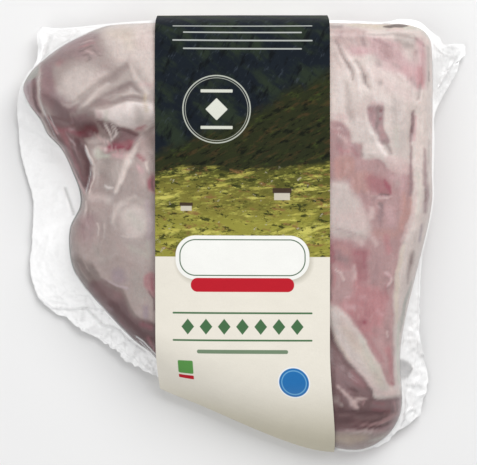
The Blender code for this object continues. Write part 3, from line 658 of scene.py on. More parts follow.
# %% The window of lean meat, the fat beside it and the slit
add_marks(
    patch("mauve", 2.6, [(83, 84.6), (88, 84.4), (93, 83.4), (93.6, 76), (94, 69), (97.5, 60), (93, 58.5),
        (88, 66), (84, 72.5), (82.5, 79)], 0.9, -0.4),
    stroke("mauve", 3, [(86, 80, 1.4), (86.5, 75, 2.2), (89, 69, 1.8)], 0.85),
    stroke("lean", 2, [(85, 83.4, 0.5), (87, 79, 0.6), (86.6, 72, 0.5)], 0.5),
    stroke("pink", 3, [(86, 86.2, 1.2), (92, 85.4, 1.4)], 0.65),
    stroke("pink", 2, [(85.4, 73.6, 0.6), (88.6, 67.6, 0.6)]),
    stroke("dim", 3, [(89.4, 82, 1.2), (90.2, 76, 1.6), (88.5, 70, 1)], 0.65),
    stroke("blood", 1.4, [(91, 80.5, 0.9)], 0.7, -0.4),
    stroke("crimson", 1.6, [(91.3, 75.5, 0.7)], 0.8),
    stroke("crimson", 1.6, [(84.6, 81.8, 0.5)], 0.8),
    stroke("lean", 3, [(92, 70, 1.4), (93, 64, 1.8)], 0.9),
    stroke("shade", 2.6, [(94, 60.4, 0.8), (95.5, 57, 1.8), (98, 52, 1)], 0.8, -0.5),
    stroke("pale fat", 8, [(102, 88, 4), (104, 72, 4.8), (105, 54, 4)], 0.95, 0.6),
    stroke("grey fat", 9, [(101, 82, 3), (101, 66, 3)], 0.45),
    stroke("grey fat", 7, [(76, 84, 2.4), (78, 74, 3)], 0.4),
    stroke("shade", 2, [(87.4, 70, 0.5), (90, 66.6, 0.8), (89.4, 68, 0.5)]),
    stroke("face", 24, [(108, 92, 8), (110, 66, 8)], 0.2),
    stroke("white fat", 4, [(87, 88, 1.4), (94, 87, 1.6)], 0.6, 0.3),
    stroke("green fat", 5, [(102, 70, 1.4), (102, 58, 1.4)], 0.4),
    stroke("mauve", 1.8, [(114, 80, 0.7), (112.8, 74, 0.9), (112.6, 68, 1.2), (111.8, 61, 0.7)], 0.9, -1),
    stroke("brown", 1.4, [(113.2, 78.6, 0.3), (112.8, 67.6, 0.9)], 0.85),
    stroke("pink", 1.8, [(115, 77, 0.8), (114.6, 70, 0.9), (113.8, 62, 0.9)], 0.85, 0.5),
    stroke("cream fat", 4, [(120, 92, 3), (119.5, 76, 4), (119, 56, 4)], 0.8, 0.5),
)

# %% The lean meat's ground
add_marks(
    patch("lean", 4, [(58, 74), (66, 74), (73, 66), (74, 60), (80, 60), (80, 50), (92, 50), (96, 44),
        (112, 46), (111, 20), (108, 2), (104, -14), (100, -44), (101, -84), (102, -97), (98, -101),
        (93, -94), (88, -84), (82, -76), (78, -64), (71, -54), (64, -48), (57, -44)], 0.95),
)

# %% Beside the sleeve, top: mottled red with flecks, then brown-pink
add_marks(
    stroke("mauve", 5, [(65, 64, 2.4), (64, 56, 2.6)], 0.4),
    stroke("deep rose", 4, [(63, 58, 1.6), (66, 53, 1.8)], 0.4),
    stroke("mauve", 3, [(74, 58, 2), (77, 53, 2.4)], 0.4),
    stroke("deep rose", 2.4, [(73, 56, 0.8), (76, 52, 1)], 0.4),
    stroke("pink", 5, [(62, 78, 2), (68, 77, 2.4)], 0.35),
    stroke("rose", 1.8, [(62, 67, 0.8), (67, 64.6, 1)]),
    stroke("pink", 1.6, [(63, 70, 0.6), (69, 68, 0.8)]),
    stroke("pink", 1.6, [(68, 60.6, 0.6), (73, 58.4, 0.8)], 0.5),
    stroke("rose", 1.8, [(64, 55, 1), (70, 54.4, 1)]),
    stroke("mauve", 5, [(64, 72, 2), (69, 68, 2.4)], 0.5),
    stroke("blush", 1.4, [(63, 66, 0.5), (67, 63, 0.8), (70, 61, 0.5)], 0.8, 0.3),
    stroke("blush", 1.4, [(62, 69, 0.4), (66, 69.5, 0.5)]),
    stroke("shade", 2.4, [(78.5, 60, 1), (79.5, 52, 0.9)]),
    patch("clay", 3.5, [(61, 50), (73, 50), (73, 40), (69, 36), (62, 37)], 0.85),
    stroke("shade", 2, [(67, 37, 0.7), (69, 38, 0.6)]),
)

# %% The white stripe of fat that runs down from the sleeve, and the pale skin below its foot
add_marks(
    patch("pale fat", 3, [(73, 76), (82, 73), (87, 65), (91, 57), (97, 50), (101, 45.5), (94, 45.5),
        (88, 51), (80, 54), (79, 60), (73, 61)], 0.85, 0.6),
    stroke("white fat", 3, [(83, 68, 1.2), (88, 62.6, 1.6), (92, 56, 1.6), (95, 50, 1.2)], 0.75, 0.4),
    stroke("grey fat", 2.4, [(84, 52.5, 0.8), (86, 51, 0.9)], 0.7),
    patch("blush", 4, [(94, 50), (110, 48), (110, 40), (98, 41)], 0.8),
    stroke("mauve", 2, [(88, 49, 0.8), (93, 46, 0.8), (93.5, 41, 0.6)], 0.5),
    stroke("rim grey", 5, [(102, 38, 1.6), (103, 33, 1.4)], 0.4),
    stroke("pink", 5, [(97, 38, 1.6), (106, 36, 2.4), (106, 28, 1.8)]),
)

# %% The red heart of the loin
add_marks(
    patch("clay", 4, [(73, 40), (84, 40), (84, 28), (74, 28)], 0.7),
    patch("deep rose", 6, [(82, 38), (92, 37), (96.5, 32), (98.5, 26), (91, 25), (85, 28)], 0.75, -0.4),
    stroke("crimson", 2.2, [(93.5, 35, 0.8), (96, 31, 1.5), (98, 28, 0.8)], 0.75),
    stroke("brown", 1.6, [(91, 26, 0.6), (96.5, 25.6, 0.9)], 0.85, -0.5),
)

# %% The pale skin by the sleeve, with the fold at its right
add_marks(
    patch("pale fat", 8, [(58, 34), (68, 34), (73, 28), (78, 23), (80, 16), (83, 11), (83, -1), (74, -3),
        (58, 0)], 0.9, 0.3),
    stroke("face", 4, [(63, 2, 1.4), (69, -1.6, 1.6), (80, -2, 1.6)], 0.55),
    stroke("blush", 9, [(64, 10, 3), (76, 12, 4)], 0.5),
    stroke("blush", 7, [(72, 4, 1.6), (80, 6, 2), (79, 16, 1.6)]),
    stroke("cream fat", 4, [(62, 33, 1.6), (68, 31, 2)]),
    stroke("mauve", 2, [(62, 4, 0.5), (68, 1.6, 0.8), (74, 0, 0.5)], 0.5, -0.4),
    stroke("lean", 2.4, [(79, 28, 1.2), (81.5, 22, 1.6), (85, 19, 0.9)], 0.85, -0.5),
    stroke("blush", 3, [(85.5, 17, 1.4), (85.5, 11, 2)], 0.8, 0.3),
)

# %% Wrinkles across, and the dark streak down
add_marks(
    stroke("blush", 1.2, [(85, 25, 0.4), (90, 23.4, 0.5), (95, 23.6, 0.5), (99, 25, 0.4)], 0.5, 0.25),
    stroke("mauve", 1.8, [(86, 23, 0.5), (91, 25.6, 0.7)], 0.5, -0.3),
    stroke("mauve", 1.8, [(94, 22, 0.5), (98, 23.4, 0.5)], 0.5, -0.3),
    stroke("dim", 1.8, [(90, 20.6, 0.8), (91.5, 19, 1)], 0.75, -0.4),
    stroke("mauve", 2.6, [(91, 19, 1.4), (91, 12, 1.7), (91, 6, 1.1)], 0.75, -0.5),
    stroke("pink", 5, [(97, 17, 2.6), (98, 8, 2.8)], 0.65),
    stroke("clay", 4, [(107, 26, 1.6), (107.5, 14, 2.2), (105, 4, 2.2)], 0.85),
    stroke("clay", 5, [(88, 0, 2.4), (97, 0, 3.4), (102, 0, 2.4)]),
)

# %% The middle of the loin: brown by the sleeve, red beside it, rose below
add_marks(
    patch("deep rose", 5, [(59, -4), (72, -6), (73, -20), (70, -23), (59, -20)], 0.4),
    stroke("clay", 6, [(63, -8, 2), (70, -12, 2.4)], 0.4),
    stroke("mauve", 5, [(64, -13, 2), (69, -19, 2)], 0.45),
    stroke("deep rose", 2.4, [(59.4, -8, 0.9), (59.6, -18, 1.2)], 0.8),
    stroke("crimson", 1.6, [(60.4, -12, 0.4), (61.4, -17, 0.6)]),
    stroke("brown", 3, [(59, -20, 0.8), (58.6, -33, 1.1), (58.6, -43, 0.8)], 0.75),
    stroke("dim", 4, [(62, -15, 1.4), (69, -17, 1.8)], 0.4),
    stroke("blush", 4, [(75, -3, 1.6), (79, -6, 1.6)], 0.75),
    stroke("blush", 3, [(85.5, -3, 1), (88, -6, 1.3)], 0.65, 0.3),
    stroke("rose", 4, [(95, -2, 2), (97, -12, 2)], 0.75),
    patch("deep rose", 5, [(73, -10), (83, -10), (83, -20), (83, -30), (76, -31), (73, -17)], 0.75, -0.3),
    stroke("crimson", 3, [(75, -12.5, 0.6), (80, -12, 0.8), (80.5, -21, 0.9)], 0.35),
    stroke("lean", 6, [(87, -18, 3), (88, -30, 3.4)], 0.8),
    stroke("mauve", 5, [(90, -14, 1.6), (87, -31, 2)], 0.35),
    stroke("blush", 1.4, [(61.6, -23, 0.5), (64.6, -26, 0.9), (66.8, -30.4, 0.5)], 0.85, 0.5),
    stroke("rose", 2, [(60.5, -22, 0.8), (61, -34, 0.8)], 0.7),
    stroke("blush", 3, [(73.8, -21, 0.9), (73.8, -29, 1.2)], 0.6, 0.4),
    patch("rose", 7, [(74, -30), (84, -33), (94, -38), (94, -52), (88, -66), (80, -64), (74, -57),
        (66, -47), (72, -40)], 0.85),
    stroke("deep rose", 6, [(80, -44, 1.6), (84, -50, 2.4), (82, -55, 1.6)], 0.4),
    stroke("deep rose", 4, [(72, -53, 0.8), (76, -59, 1.4), (82, -67, 1.4), (88, -76, 1.2), (93, -84, 1)],
        0.5),
    stroke("pink", 1.4, [(94, -25.6, 0.8), (97.6, -27.2, 1.3), (98.8, -29.8, 0.9), (97.2, -32.4, 1.2),
        (95.6, -34.6, 0.8)], 0.98, 0.7),
    stroke("blush", 1.6, [(98.8, -28.6, 0.8), (98.6, -31.2, 1), (96.8, -33.4, 1)], 0.8, 0.4),
    stroke("deep rose", 3, [(94.5, -34, 0.8), (95.5, -42, 1.2)], 0.45),
    stroke("pink", 1.6, [(68, -41.6, 0.5), (70.4, -41.2, 0.5)], 0.8),
    stroke("pink", 2, [(81.4, -40.5, 0.8)]),
    stroke("pink", 4, [(70, -47.6, 1.8), (74, -47.6, 1.4)]),
    stroke("pink", 4, [(79, -41, 1.6), (82, -43, 1.4)], 0.35),
    stroke("pink", 3, [(89, -50.6, 1.2), (92, -53, 1.2)], 0.4),
    stroke("deep rose", 4, [(78, -58, 1.4), (81, -58, 2)], 0.7),
    stroke("crimson", 1.8, [(80.6, -57.8, 0.9)], 0.8),
    stroke("lean", 4, [(88, -62, 2), (96, -64, 3), (94, -72, 2.4)], 0.75),
    stroke("blush", 1.8, [(95.5, -64, 0.8), (95.5, -67, 0.7)], 0.75),
    stroke("rose", 3, [(96, -76, 2), (99, -84, 1.8), (99.4, -94, 1)], 0.75),
    stroke("deep rose", 1.6, [(98.6, -97, 0.6), (100.4, -100, 0.6)], 0.8),
)

# %% The outer band, its warm inner line, the chine line and the edges
add_marks(
    stroke("cream fat", 3, [(117, 56, 2.2), (116.5, 36, 2.4), (116, 16, 2.6), (114, 4, 2.8)], 0.8, 0.5),
    stroke("green fat", 3, [(117, 40, 1), (117, 24, 1.2), (115.5, 12, 1)], 0.35),
    stroke("pale fat", 3, [(113, 0, 3.2), (109, -14, 3), (106, -30, 2.8), (104, -46, 2.2), (103.5, -70, 2),
        (103.5, -98, 2)], 0.9, 0.4),
    stroke("warm fat", 2.4, [(107, -8, 1), (102.6, -24, 1.4), (102, -44, 1.4), (102.4, -58, 0.9)], 0.8),
    stroke("clay", 2.4, [(111.6, 26, 0.9), (111, 18, 1.2), (109, 8, 0.9)], 0.8),
    stroke("blush", 2.4, [(114.4, 28, 0.6), (113.4, 20, 1), (111.6, 10, 1.2), (108.6, 2, 1.2),
        (105.6, -4, 0.8)], 0.7),
    stroke("mauve", 1.8, [(112, 60, 0.4), (111.6, 50, 0.8), (112, 36, 1), (111.5, 26, 0.8)], 0.85, -0.6),
    stroke("mauve", 3, [(121, 56, 0.8), (121.6, 42, 1.4), (122.4, 26, 2), (122, 15, 1.4)], 0.75),
    stroke("dim", 2, [(121, 30, 0.6), (121.6, 22, 0.8)]),
    stroke("grey fat", 3, [(124.5, 62, 0.8), (124, 48, 1.2)]),
    stroke("violet", 2.4, [(119, 6, 0.8), (118, -4, 1)], 0.7),
    stroke("shade", 4, [(113, -11, 0.8), (112, -17, 2), (111, -25, 1.2), (110, -32, 0.5)], 0.8, -0.4),
    stroke("dim", 2.4, [(112.4, -14.5, 0.8), (111.6, -18.5, 1)]),
    stroke("rim grey", 2.4, [(113, -32, 0.6), (109.8, -43, 1.6), (107, -55, 1.6), (105.4, -65, 0.6)], 0.85),
)

# %% The slanting band over the cut end
add_marks(
    patch("pale fat", 1.8, [(57, -46), (63, -50.5), (69, -55.6), (74, -61.4), (79, -67), (83.4, -75),
        (86.6, -80.4), (90.8, -87.6), (94.4, -94), (97.4, -99.4), (102, -100), (105.5, -98), (107, -108),
        (98, -108.4), (87.4, -108.4), (85.6, -104), (83.4, -99.6), (78.4, -94), (72.4, -87), (67.6, -80.6),
        (63, -72), (58, -60)], 0.97, 0.6),
    stroke("warm fat", 6, [(68, -62, 2), (76, -74, 2.6), (88, -90, 3), (91, -98, 2.4)], 0.7),
    stroke("clay", 7, [(66, -58, 2), (78, -74, 2.6)], 0.2),
    stroke("shade", 8, [(64, -56, 2.4), (74, -68, 3)], 0.16),
    stroke("green fat", 5, [(78, -68, 1.6), (84, -84, 1.8), (94, -101, 1.8)], 0.5),
    stroke("tan", 2.4, [(57, -62, 0.6), (62, -69, 0.6), (71, -83.5, 0.6)], 0.5),
    stroke("blush", 3, [(70, -81, 0.8), (75, -88, 1), (90, -105, 1.6), (102, -104, 2)]),
    stroke("green fat", 2, [(103.8, -58, 0.8), (104.4, -80, 1.2), (105, -98, 1.2)], 0.8),
)

# %% The cut end's ground, its dark brown partly painted shade
add_marks(
    patch("brown", 1.8, [(56, -58), (63, -71.6), (67.6, -80.2), (72.4, -86.6), (78.4, -93.6), (83.6, -99.2),
        (86, -103), (87.6, -108.8), (98, -108.8), (108, -108), (110, -122), (104, -133), (92, -131),
        (76, -131), (56, -130)], 0.98, -1),
)

# %% Mauve muscle with a red side, a pale sinew across it and a branch
add_marks(
    patch("mauve", 5, [(61, -84), (66, -86), (72, -96), (74, -104), (70, -106), (62, -98)], 0.55),
    patch("mauve", 4, [(72, -90), (78, -94), (84, -104), (85, -109), (77, -105), (72, -98)], 0.35),
    patch("deep rose", 4, [(73, -91), (78, -94), (82, -101), (76, -100)], 0.3),
    stroke("dark brown", 2, [(70, -100.6, 0.5), (74, -102.6, 1.2), (77, -104, 0.5)], 0.85, -0.5),
    stroke("dark brown", 1.4, [(60.6, -78, 0.5), (61, -108, 0.5)]),
    stroke("blush", 2, [(63, -100.4, 0.5), (67.4, -103.8, 1), (70.6, -107.4, 1.4), (73.6, -111.4, 2.3),
        (76.6, -115.4, 1.3)], 0.78, 0.8),
    stroke("blush", 2, [(75, -110.4, 1.3), (78.6, -109.2, 1.2), (82, -109, 0.6)], 0.7, 0.5),
    stroke("grey fat", 3, [(61, -108, 0.8), (64, -108.6, 0.9)], 0.5),
    stroke("lean", 1.4, [(81.6, -109.6, 0.7), (80, -112.5, 0.6)], 0.8, 0.4),
    stroke("mauve", 2, [(68, -108, 0.8), (74, -116, 0.8)], 0.5),
    stroke("grey fat", 2, [(60, -110.5, 0.8), (63.5, -111, 1.1), (67, -113.5, 0.8)], 0.65),
    stroke("brown", 2, [(64, -114, 0.6), (69, -114.6, 0.8)], 0.7),
)

# %% The dark groove, the light fold in it and the lower crease; groove and crease partly painted shade
add_marks(
    patch("mauve", 3, [(87, -110.4), (106, -110), (107, -116), (98, -117), (86, -115)], 0.45),
    stroke("deep rose", 3, [(88, -112, 0.8), (94, -112.6, 1)], 0.4),
    stroke("crimson", 3, [(88, -117, 0.8), (93, -118, 1.2), (98, -118, 0.8)], 0.4),
    stroke("dark brown", 2, [(58, -117.4, 1.8), (70, -117.6, 2), (82, -118.4, 1.8), (92, -119.6, 1.2),
        (97, -118, 0.5)], 0.9, -0.5),
    stroke("dark brown", 2.4, [(58, -123, 3), (66, -124, 2.8), (74, -123.6, 2)], 0.8),
    stroke("mauve", 5, [(97, -131, 2.4), (102, -127, 2.4), (105, -121, 1.6)], 0.75),
    stroke("dark brown", 2, [(70, -123.6, 0.8), (84, -125, 1.1), (91, -124.2, 0.9), (97, -121.4, 0.5)],
        0.9, -0.4),
    stroke("lean", 2.4, [(76, -127, 0.4), (85, -127.4, 0.8), (93, -125.6, 1.5), (100, -122.2, 1.9),
        (106, -118.8, 1.3)], 0.75, 0.4),
    stroke("dark brown", 2, [(64, -127.6, 0.4), (74, -128, 0.8), (84, -129, 1), (90, -128.8, 1),
        (96, -127.2, 0.8), (101, -125.8, 0.4)], 0.95, -0.5),
    stroke("mauve", 3, [(86, -131.6, 0.8), (94, -130.8, 1.4), (101, -128.4, 1.2)], 0.7),
    stroke("mauve", 2.4, [(66, -130.4, 0.8), (78, -131.6, 0.9), (90, -132.4, 0.9), (98, -130.4, 0.9)], 0.7),
    stroke("crimson", 3, [(60.5, -120, 1), (61, -129, 1)], 0.25),
)

# %% The fat below in painted shade, warm at the left and grey at the right, and the brown right end
add_marks(
    patch("shade", 2.6, [(56, -131), (66, -131.6), (80, -133), (86, -133.6), (98, -132.6), (103, -132),
        (96, -142), (80, -149), (56, -149)], 0.92, 0.5),
    stroke("tan", 6, [(62, -137, 2.6), (74, -138, 3.4), (82, -137, 2)], 0.4),
    stroke("mauve", 3, [(89, -133, 1.6), (97, -132, 1.8)], 0.5),
    stroke("green fat", 2.4, [(86, -139, 0.9), (95, -137.6, 1.2)], 0.4),
    patch("mauve", 3, [(100, -111), (107, -111), (108, -118), (106, -126), (100, -131), (99, -126),
        (104, -120)], 0.75),
    stroke("lean", 1.2, [(101.6, -111, 0.4), (102.6, -117, 0.5)]),
    stroke("dim", 1.2, [(103.4, -111, 0.4), (104.2, -117, 0.5)]),
    stroke("shade", 2, [(106.4, -103, 0.5), (108, -111, 0.9), (107.6, -119, 0.9), (103.4, -127.6, 0.6)],
        0.8),
)

# %% [markdown]
# ## The meat's form
# The broad form is the CAD's: a plateau with rises and hollows, less its folds. On top of it come the
# marks that rise or sink, low lumps in the fat, and fine strands in the lean meat. Under the sleeve the
# surface stays the plain CAD form, so that the card never touches it.

# %% Height of the top, and of the underside
MEAT_HEIGHT = 44.0
FLANGE_DROP, FLANGE_EDGE_HEIGHT, FLANGE_THICKNESS, FLANGE_CLEARANCE = 0.34, 4.0, 0.8, 0.9
RIB_SPACING, RIB_RELIEF, RIB_PHASE = 27.0, 1.8, 4.0
SLEEVE_WIDTH, SLEEVE_MIDDLE_X, SLEEVE_THICKNESS, SLEEVE_GAP = 115.0, 0.6, 0.5, 0.8
SLEEVE_DRIFT, SLEEVE_DRIFT_START, SLEEVE_DRIFT_RUN, CHANNEL_MARGIN = 5.0, -75.0, 80.0, 12.0
# Broad rises and hollows: middle x and y, half lengths along and across, turn, rise.
MOUNDS = {
    "loin muscle": (88, 15, 110, 34, 90, 6.0),
    "breast lobe": (-91, 104, 44, 30, 30, 5.0),
    "fat pad above the fold": (-76, 79, 20, 11, 10, 3.5),
    "waist": (-106, 28, 26, 18, 90, -5.0),
    "thin lower face": (-86, -18, 55, 42, 70, -8.0),
    "lower corner": (-60, -62, 30, 24, -35, -3.0),
    "loin's top corner": (106, 122, 40, 24, 0, -3.0),
    "hollow beside the loin": (62, -20, 80, 16, 85, -2.0),
}
# Folds that the bag sinks into: half width, depth, and the line that each follows.
FOLDS = {
    "belly fold": (8, 9, [(-132, 80), (-118, 73), (-101, 69), (-88, 62), (-75, 60), (-60, 67)]),
    "fold below it": (8, 7, [(-101, 69), (-96, 48), (-99, 31)]),
    "under the fat edge": (8, 3, [(52, -62), (68, -80), (82, -96), (90, -112)]),
    "chine line": (6, 2.5, [(115, 78), (115, 28), (108, -11), (105, -74), (103, -99)]),
}


def line_distance(x, y, line):
    """Distance to the nearest run of a line of points."""
    return np.min([run_distance(x, y, start, end)[0] for start, end in zip(line, line[1:])], axis=0)


def meat_top(x, y):
    """The plateau, plus each mound as a bell (rise times e to the minus squared distance over its half
    lengths), less each fold as a bell across its line."""
    height = np.full(x.shape, MEAT_HEIGHT)
    for middle_x, middle_y, half_along, half_across, turn, rise in MOUNDS.values():
        cosine, sine = math.cos(math.radians(turn)), math.sin(math.radians(turn))
        along = ((x - middle_x) * cosine + (y - middle_y) * sine) / half_along
        across = ((y - middle_y) * cosine - (x - middle_x) * sine) / half_across
        height += rise * np.exp(-(along**2) - across**2)
    for half_width, depth, line in FOLDS.values():
        height -= depth * np.exp(-((line_distance(x, y, line) / half_width) ** 2))
    return height


def sleeve_drift(y):
    """How far the sleeve has slid towards +X where it comes down over the slanted end."""
    return SLEEVE_DRIFT * smoothstep((SLEEVE_DRIFT_START - y) / SLEEVE_DRIFT_RUN)


def beside_sleeve(x, y):
    """Distance in X from the sleeve's middle line, with its slide taken out."""
    return x - SLEEVE_MIDDLE_X - sleeve_drift(y)


def underside(x, y):
    """Rib ridges on the table, a cosine along Y, with a flat channel where the sleeve runs."""
    ribs = RIB_RELIEF * (0.5 - 0.5 * np.cos(math.tau * (y + RIB_PHASE) / RIB_SPACING))
    under_sleeve = abs(beside_sleeve(x, y)) < SLEEVE_WIDTH / 2 + CHANNEL_MARGIN
    return np.where(under_sleeve, SLEEVE_THICKNESS + SLEEVE_GAP, ribs)


def clear_of_sleeve(x, y, margin=1.5, fade=6.0):
    """0 under the sleeve, 1 beside it, so that nothing rises under the card."""
    return smoothstep((abs(beside_sleeve(x, y)) - SLEEVE_WIDTH / 2 - margin) / fade)


def tight_skin(plan):
    """Top and bottom heights of the bag drawn tight on the meat, out to the seam. Top: seam height plus
    the meat's height above it times sin climb. Bottom: a quarter ellipse from the seam onto the underside."""
    top = plan.seam_height + (meat_top(plan.x, plan.y) - plan.seam_height) * np.sin(plan.climb)
    inward = np.clip(plan.inward / UNDERSIDE_ROUND, 0.0, 1.0)
    belly = underside(plan.x, plan.y)
    foot = plan.seam_height - FLANGE_THICKNESS
    return top, belly + (foot - belly) * (1.0 - np.sqrt(1.0 - (1.0 - inward) ** 2))


print("highest meat", tight_skin(pack_plan(36, 12, 0))[0].max().round(1), "mm")

# %% Fine relief of the meat
LUMP_SIZE, LUMP_HEIGHT = 13.0, 0.35
STRAND_WIDTH, STRAND_LENGTH, STRAND_HEIGHT = 1.7, 16.0, 0.16
SLOW_WANDER, SLOW_RUN, QUICK_WANDER, QUICK_RUN = 0.8, 9.0, 0.2, 2.6
RELIEF_SOFTER = 1.2


def wander(x, y):
    """The plan with its points pushed about by slow and by quick noise, so that the marks laid on it get
    living outlines."""
    aside = SLOW_WANDER * cloud(x, y, SLOW_RUN, 11) + QUICK_WANDER * cloud(x, y, QUICK_RUN, 31, 2)
    ahead = SLOW_WANDER * cloud(x, y, SLOW_RUN, 21) + QUICK_WANDER * cloud(x, y, QUICK_RUN, 41, 2)
    return x + aside, y + ahead


def fine_relief(plan):
    """Marks' rises and hollows, plus lumps and strands, faded out under the sleeve and down the wall."""
    x, y = wander(plan.x, plan.y)
    height = np.zeros(x.shape)
    for mark in all_marks:
        if mark.rise:
            height += mark.rise * cover(x, y, mark._replace(soft=mark.soft + RELIEF_SOFTER))
    height += LUMP_HEIGHT * cloud(plan.x, plan.y, LUMP_SIZE, 51)
    height += STRAND_HEIGHT * cloud(plan.x * STRAND_LENGTH / STRAND_WIDTH, plan.y, STRAND_LENGTH, 61)
    return height * clear_of_sleeve(plan.x, plan.y) * np.sin(plan.climb)


print("relief spans", np.ptp(fine_relief(pack_plan(60, 15, 0))).round(2), "mm")

# %% [markdown]
# ## Painting the meat
# A colour per vertex is the simplest way to lay a hundred tones just where they belong, and the mesh is
# fine enough, at under a millimetre, to hold them. The marks are laid one over another, then mottling,
# marbling and strands break them up. The underside gets pale rib bars with red meat between.

# %% The top's colours
LOIN_FADE = 60.0
# How strongly each kind of unevenness shows in the paint.
STRAND_SHADE, FLECK_SHARE, BLOTCH_SHARE, SLOW_MOTTLE, FINE_MOTTLE = 0.08, 0.16, 0.10, 0.055, 0.045


def blend(colours, paint, share):
    """Colours moved towards the paint by a share between 0 and 1."""
    return colours + (paint - colours) * share[..., None]


def top_colours(plan):
    """Ground tones, then every mark, then strands and pale flecks where the meat is red, then mottling.
    Redness is how far red over green passes 1.25, except in the darkest tones."""
    x, y = wander(plan.x, plan.y)
    colours = np.broadcast_to(paint_of("face"), (*x.shape, 3)).copy()
    colours = blend(colours, paint_of("pale fat"), smoothstep(x / LOIN_FADE))
    for mark in all_marks:
        colours = blend(colours, paint_of(mark.tone), mark.strength * cover(x, y, mark))
    redness = np.clip((colours[..., 0] / colours[..., 1] - 1.25) / 0.5, 0.0, 1.0)
    redness *= smoothstep((colours[..., 1] - 0.12) / 0.10)
    strands = cloud(plan.x * 7.0, plan.y, 15.0, 71)
    colours *= 1.0 + (STRAND_SHADE * redness * strands)[..., None]
    flecks = smoothstep((cloud(plan.x * 2.2, plan.y, 7.0, 81) - 0.45) / 0.35)
    colours = blend(colours, paint_of("blush"), FLECK_SHARE * redness * flecks)
    blotches = smoothstep((cloud(plan.x, plan.y, 16.0, 91) - 0.15) / 0.8)
    colours = blend(colours, paint_of("rose"), BLOTCH_SHARE * blotches)
    shade = 1.0 + SLOW_MOTTLE * cloud(plan.x, plan.y, 11.0, 101)
    shade += FINE_MOTTLE * cloud(plan.x, plan.y, 3.2, 111)
    return np.clip(colours * shade[..., None], 0.0, 1.0)


print("mean paint of the top", top_colours(pack_plan(12, 4, 0)).mean((0, 1)).round(2))

# %% The underside's colours
BAR_SWAY, RIM_FAT_WIDTH = 3.0, 26.0


def bottom_colours(plan):
    """Pale bars along each rib, red-brown meat between them, fat towards the rim, all mottled. A bar is a
    cosine along Y, as in the ribs' relief, swayed by noise."""
    x, y = wander(plan.x, plan.y)
    sway = BAR_SWAY * cloud(x, y, 30.0, 131)
    bar = 0.5 - 0.5 * np.cos(math.tau * (y + sway + RIB_PHASE) / RIB_SPACING)
    colours = np.broadcast_to(paint_of("lean"), (*x.shape, 3)).copy()
    colours = blend(colours, paint_of("deep rose"), 0.7 * smoothstep((bar - 0.45) / 0.4))
    colours = blend(colours, paint_of("cream fat"), 0.85 * smoothstep((0.42 - bar) / 0.3))
    colours = blend(colours, paint_of("pale fat"), 0.8 * smoothstep((RIM_FAT_WIDTH - plan.inward) / 18.0))
    shade = 1.0 + 0.10 * cloud(x, y, 12.0, 141) + 0.06 * cloud(x, y, 5.0, 151)
    return np.clip(colours * shade[..., None], 0.0, 1.0)


print("mean paint of the underside", bottom_colours(pack_plan(12, 4, 0)).mean((0, 1)).round(2))

# %% [markdown]
# ## From grids to one closed mesh
# The top needs far more faces than the underside. So the top has three times as many rings, and each
# rim edge below is joined to three above. The rims meet at the seam, which closes the skin.

# %% Closing two sheets into one skin
def rim_of(side, offset):
    """Point numbers round the rim of a side by side grid, anticlockwise from its first corner."""
    number = np.arange(side * side).reshape(side, side) + offset
    return np.concatenate([number[:-1, 0], number[-1, :-1], number[:0:-1, -1], number[0, :0:-1]])


def sheet_faces(side, offset):
    """Four-sided faces of a side by side grid, facing up."""
    number = np.arange(side * side).reshape(side, side) + offset
    return np.stack([number[:-1, :-1], number[1:, :-1], number[1:, 1:], number[:-1, 1:]], -1).reshape(-1, 4)


def closed_skin(top, bottom):
    """Two square grids of points, the top's side a whole multiple of the bottom's, as points and faces. Each
    rim edge of the bottom makes one face with the matching run of rim edges above it."""
    side, low_side = top.shape[0], bottom.shape[0]
    rim, low_rim = rim_of(side, 0), rim_of(low_side, side * side)
    ratio = len(rim) // len(low_rim)
    start = np.arange(len(low_rim)) * ratio
    above = [rim[(start + step) % len(rim)] for step in range(ratio + 1)]
    edge = np.stack([np.roll(low_rim, -1), low_rim, *above], -1)
    points = np.concatenate([top.reshape(-1, 3), bottom.reshape(-1, 3)])
    faces = sheet_faces(side, 0).tolist() + sheet_faces(low_side, side * side)[:, ::-1].tolist()
    return points, faces + edge[:, ::-1].tolist()


def make_piece(name, points, faces, materials):
    """A smooth-shaded object from points in millimetres, with its place in its mesh."""
    mesh = bpy.data.meshes.new(name)
    mesh.from_pydata((points * MM).tolist(), [], faces)
    mesh.shade_smooth()
    for material in materials:
        mesh.materials.append(material)
    piece = bpy.data.objects.new(name, mesh)
    bpy.context.scene.collection.objects.link(piece)
    return piece


def shift_along_normals(piece, distance):
    """Moves every vertex along its own normal by a distance in mm, one number or one for each vertex."""
    mesh = piece.data
    places, normals = np.empty(len(mesh.vertices) * 3), np.empty(len(mesh.vertices) * 3)
    mesh.vertices.foreach_get("co", places)
    mesh.vertex_normals.foreach_get("vector", normals)
    moved = places.reshape(-1, 3) + normals.reshape(-1, 3) * (np.reshape(distance, (-1, 1)) * MM)
    mesh.vertices.foreach_set("co", moved.ravel())
    mesh.update()


def store(piece, name, values):
    """Keeps a number or a colour at each vertex, for the materials to read."""
    kind = "FLOAT" if values.ndim == 1 else "FLOAT_COLOR"
    attribute = piece.data.attributes.new(name, kind, "POINT")
    if kind == "FLOAT":
        attribute.data.foreach_set("value", values.astype(np.float32))
    else:
        opaque = np.concatenate([values, np.ones((len(values), 1))], 1)
        attribute.data.foreach_set("color", opaque.astype(np.float32).ravel())


trial_faces = closed_skin(np.zeros((7, 7, 3)), np.zeros((3, 3, 3)))[1]
print("a 7 by 7 sheet closed by a 3 by 3 one has", len(trial_faces), "faces")

# %% [markdown]
# ## Shader helpers
# Materials are node trees. Small helpers keep the code readable: they add a node, a sum, an S curve, a mix
# of two colours, a shade or a bump. A pattern that several materials share is a group, built once.

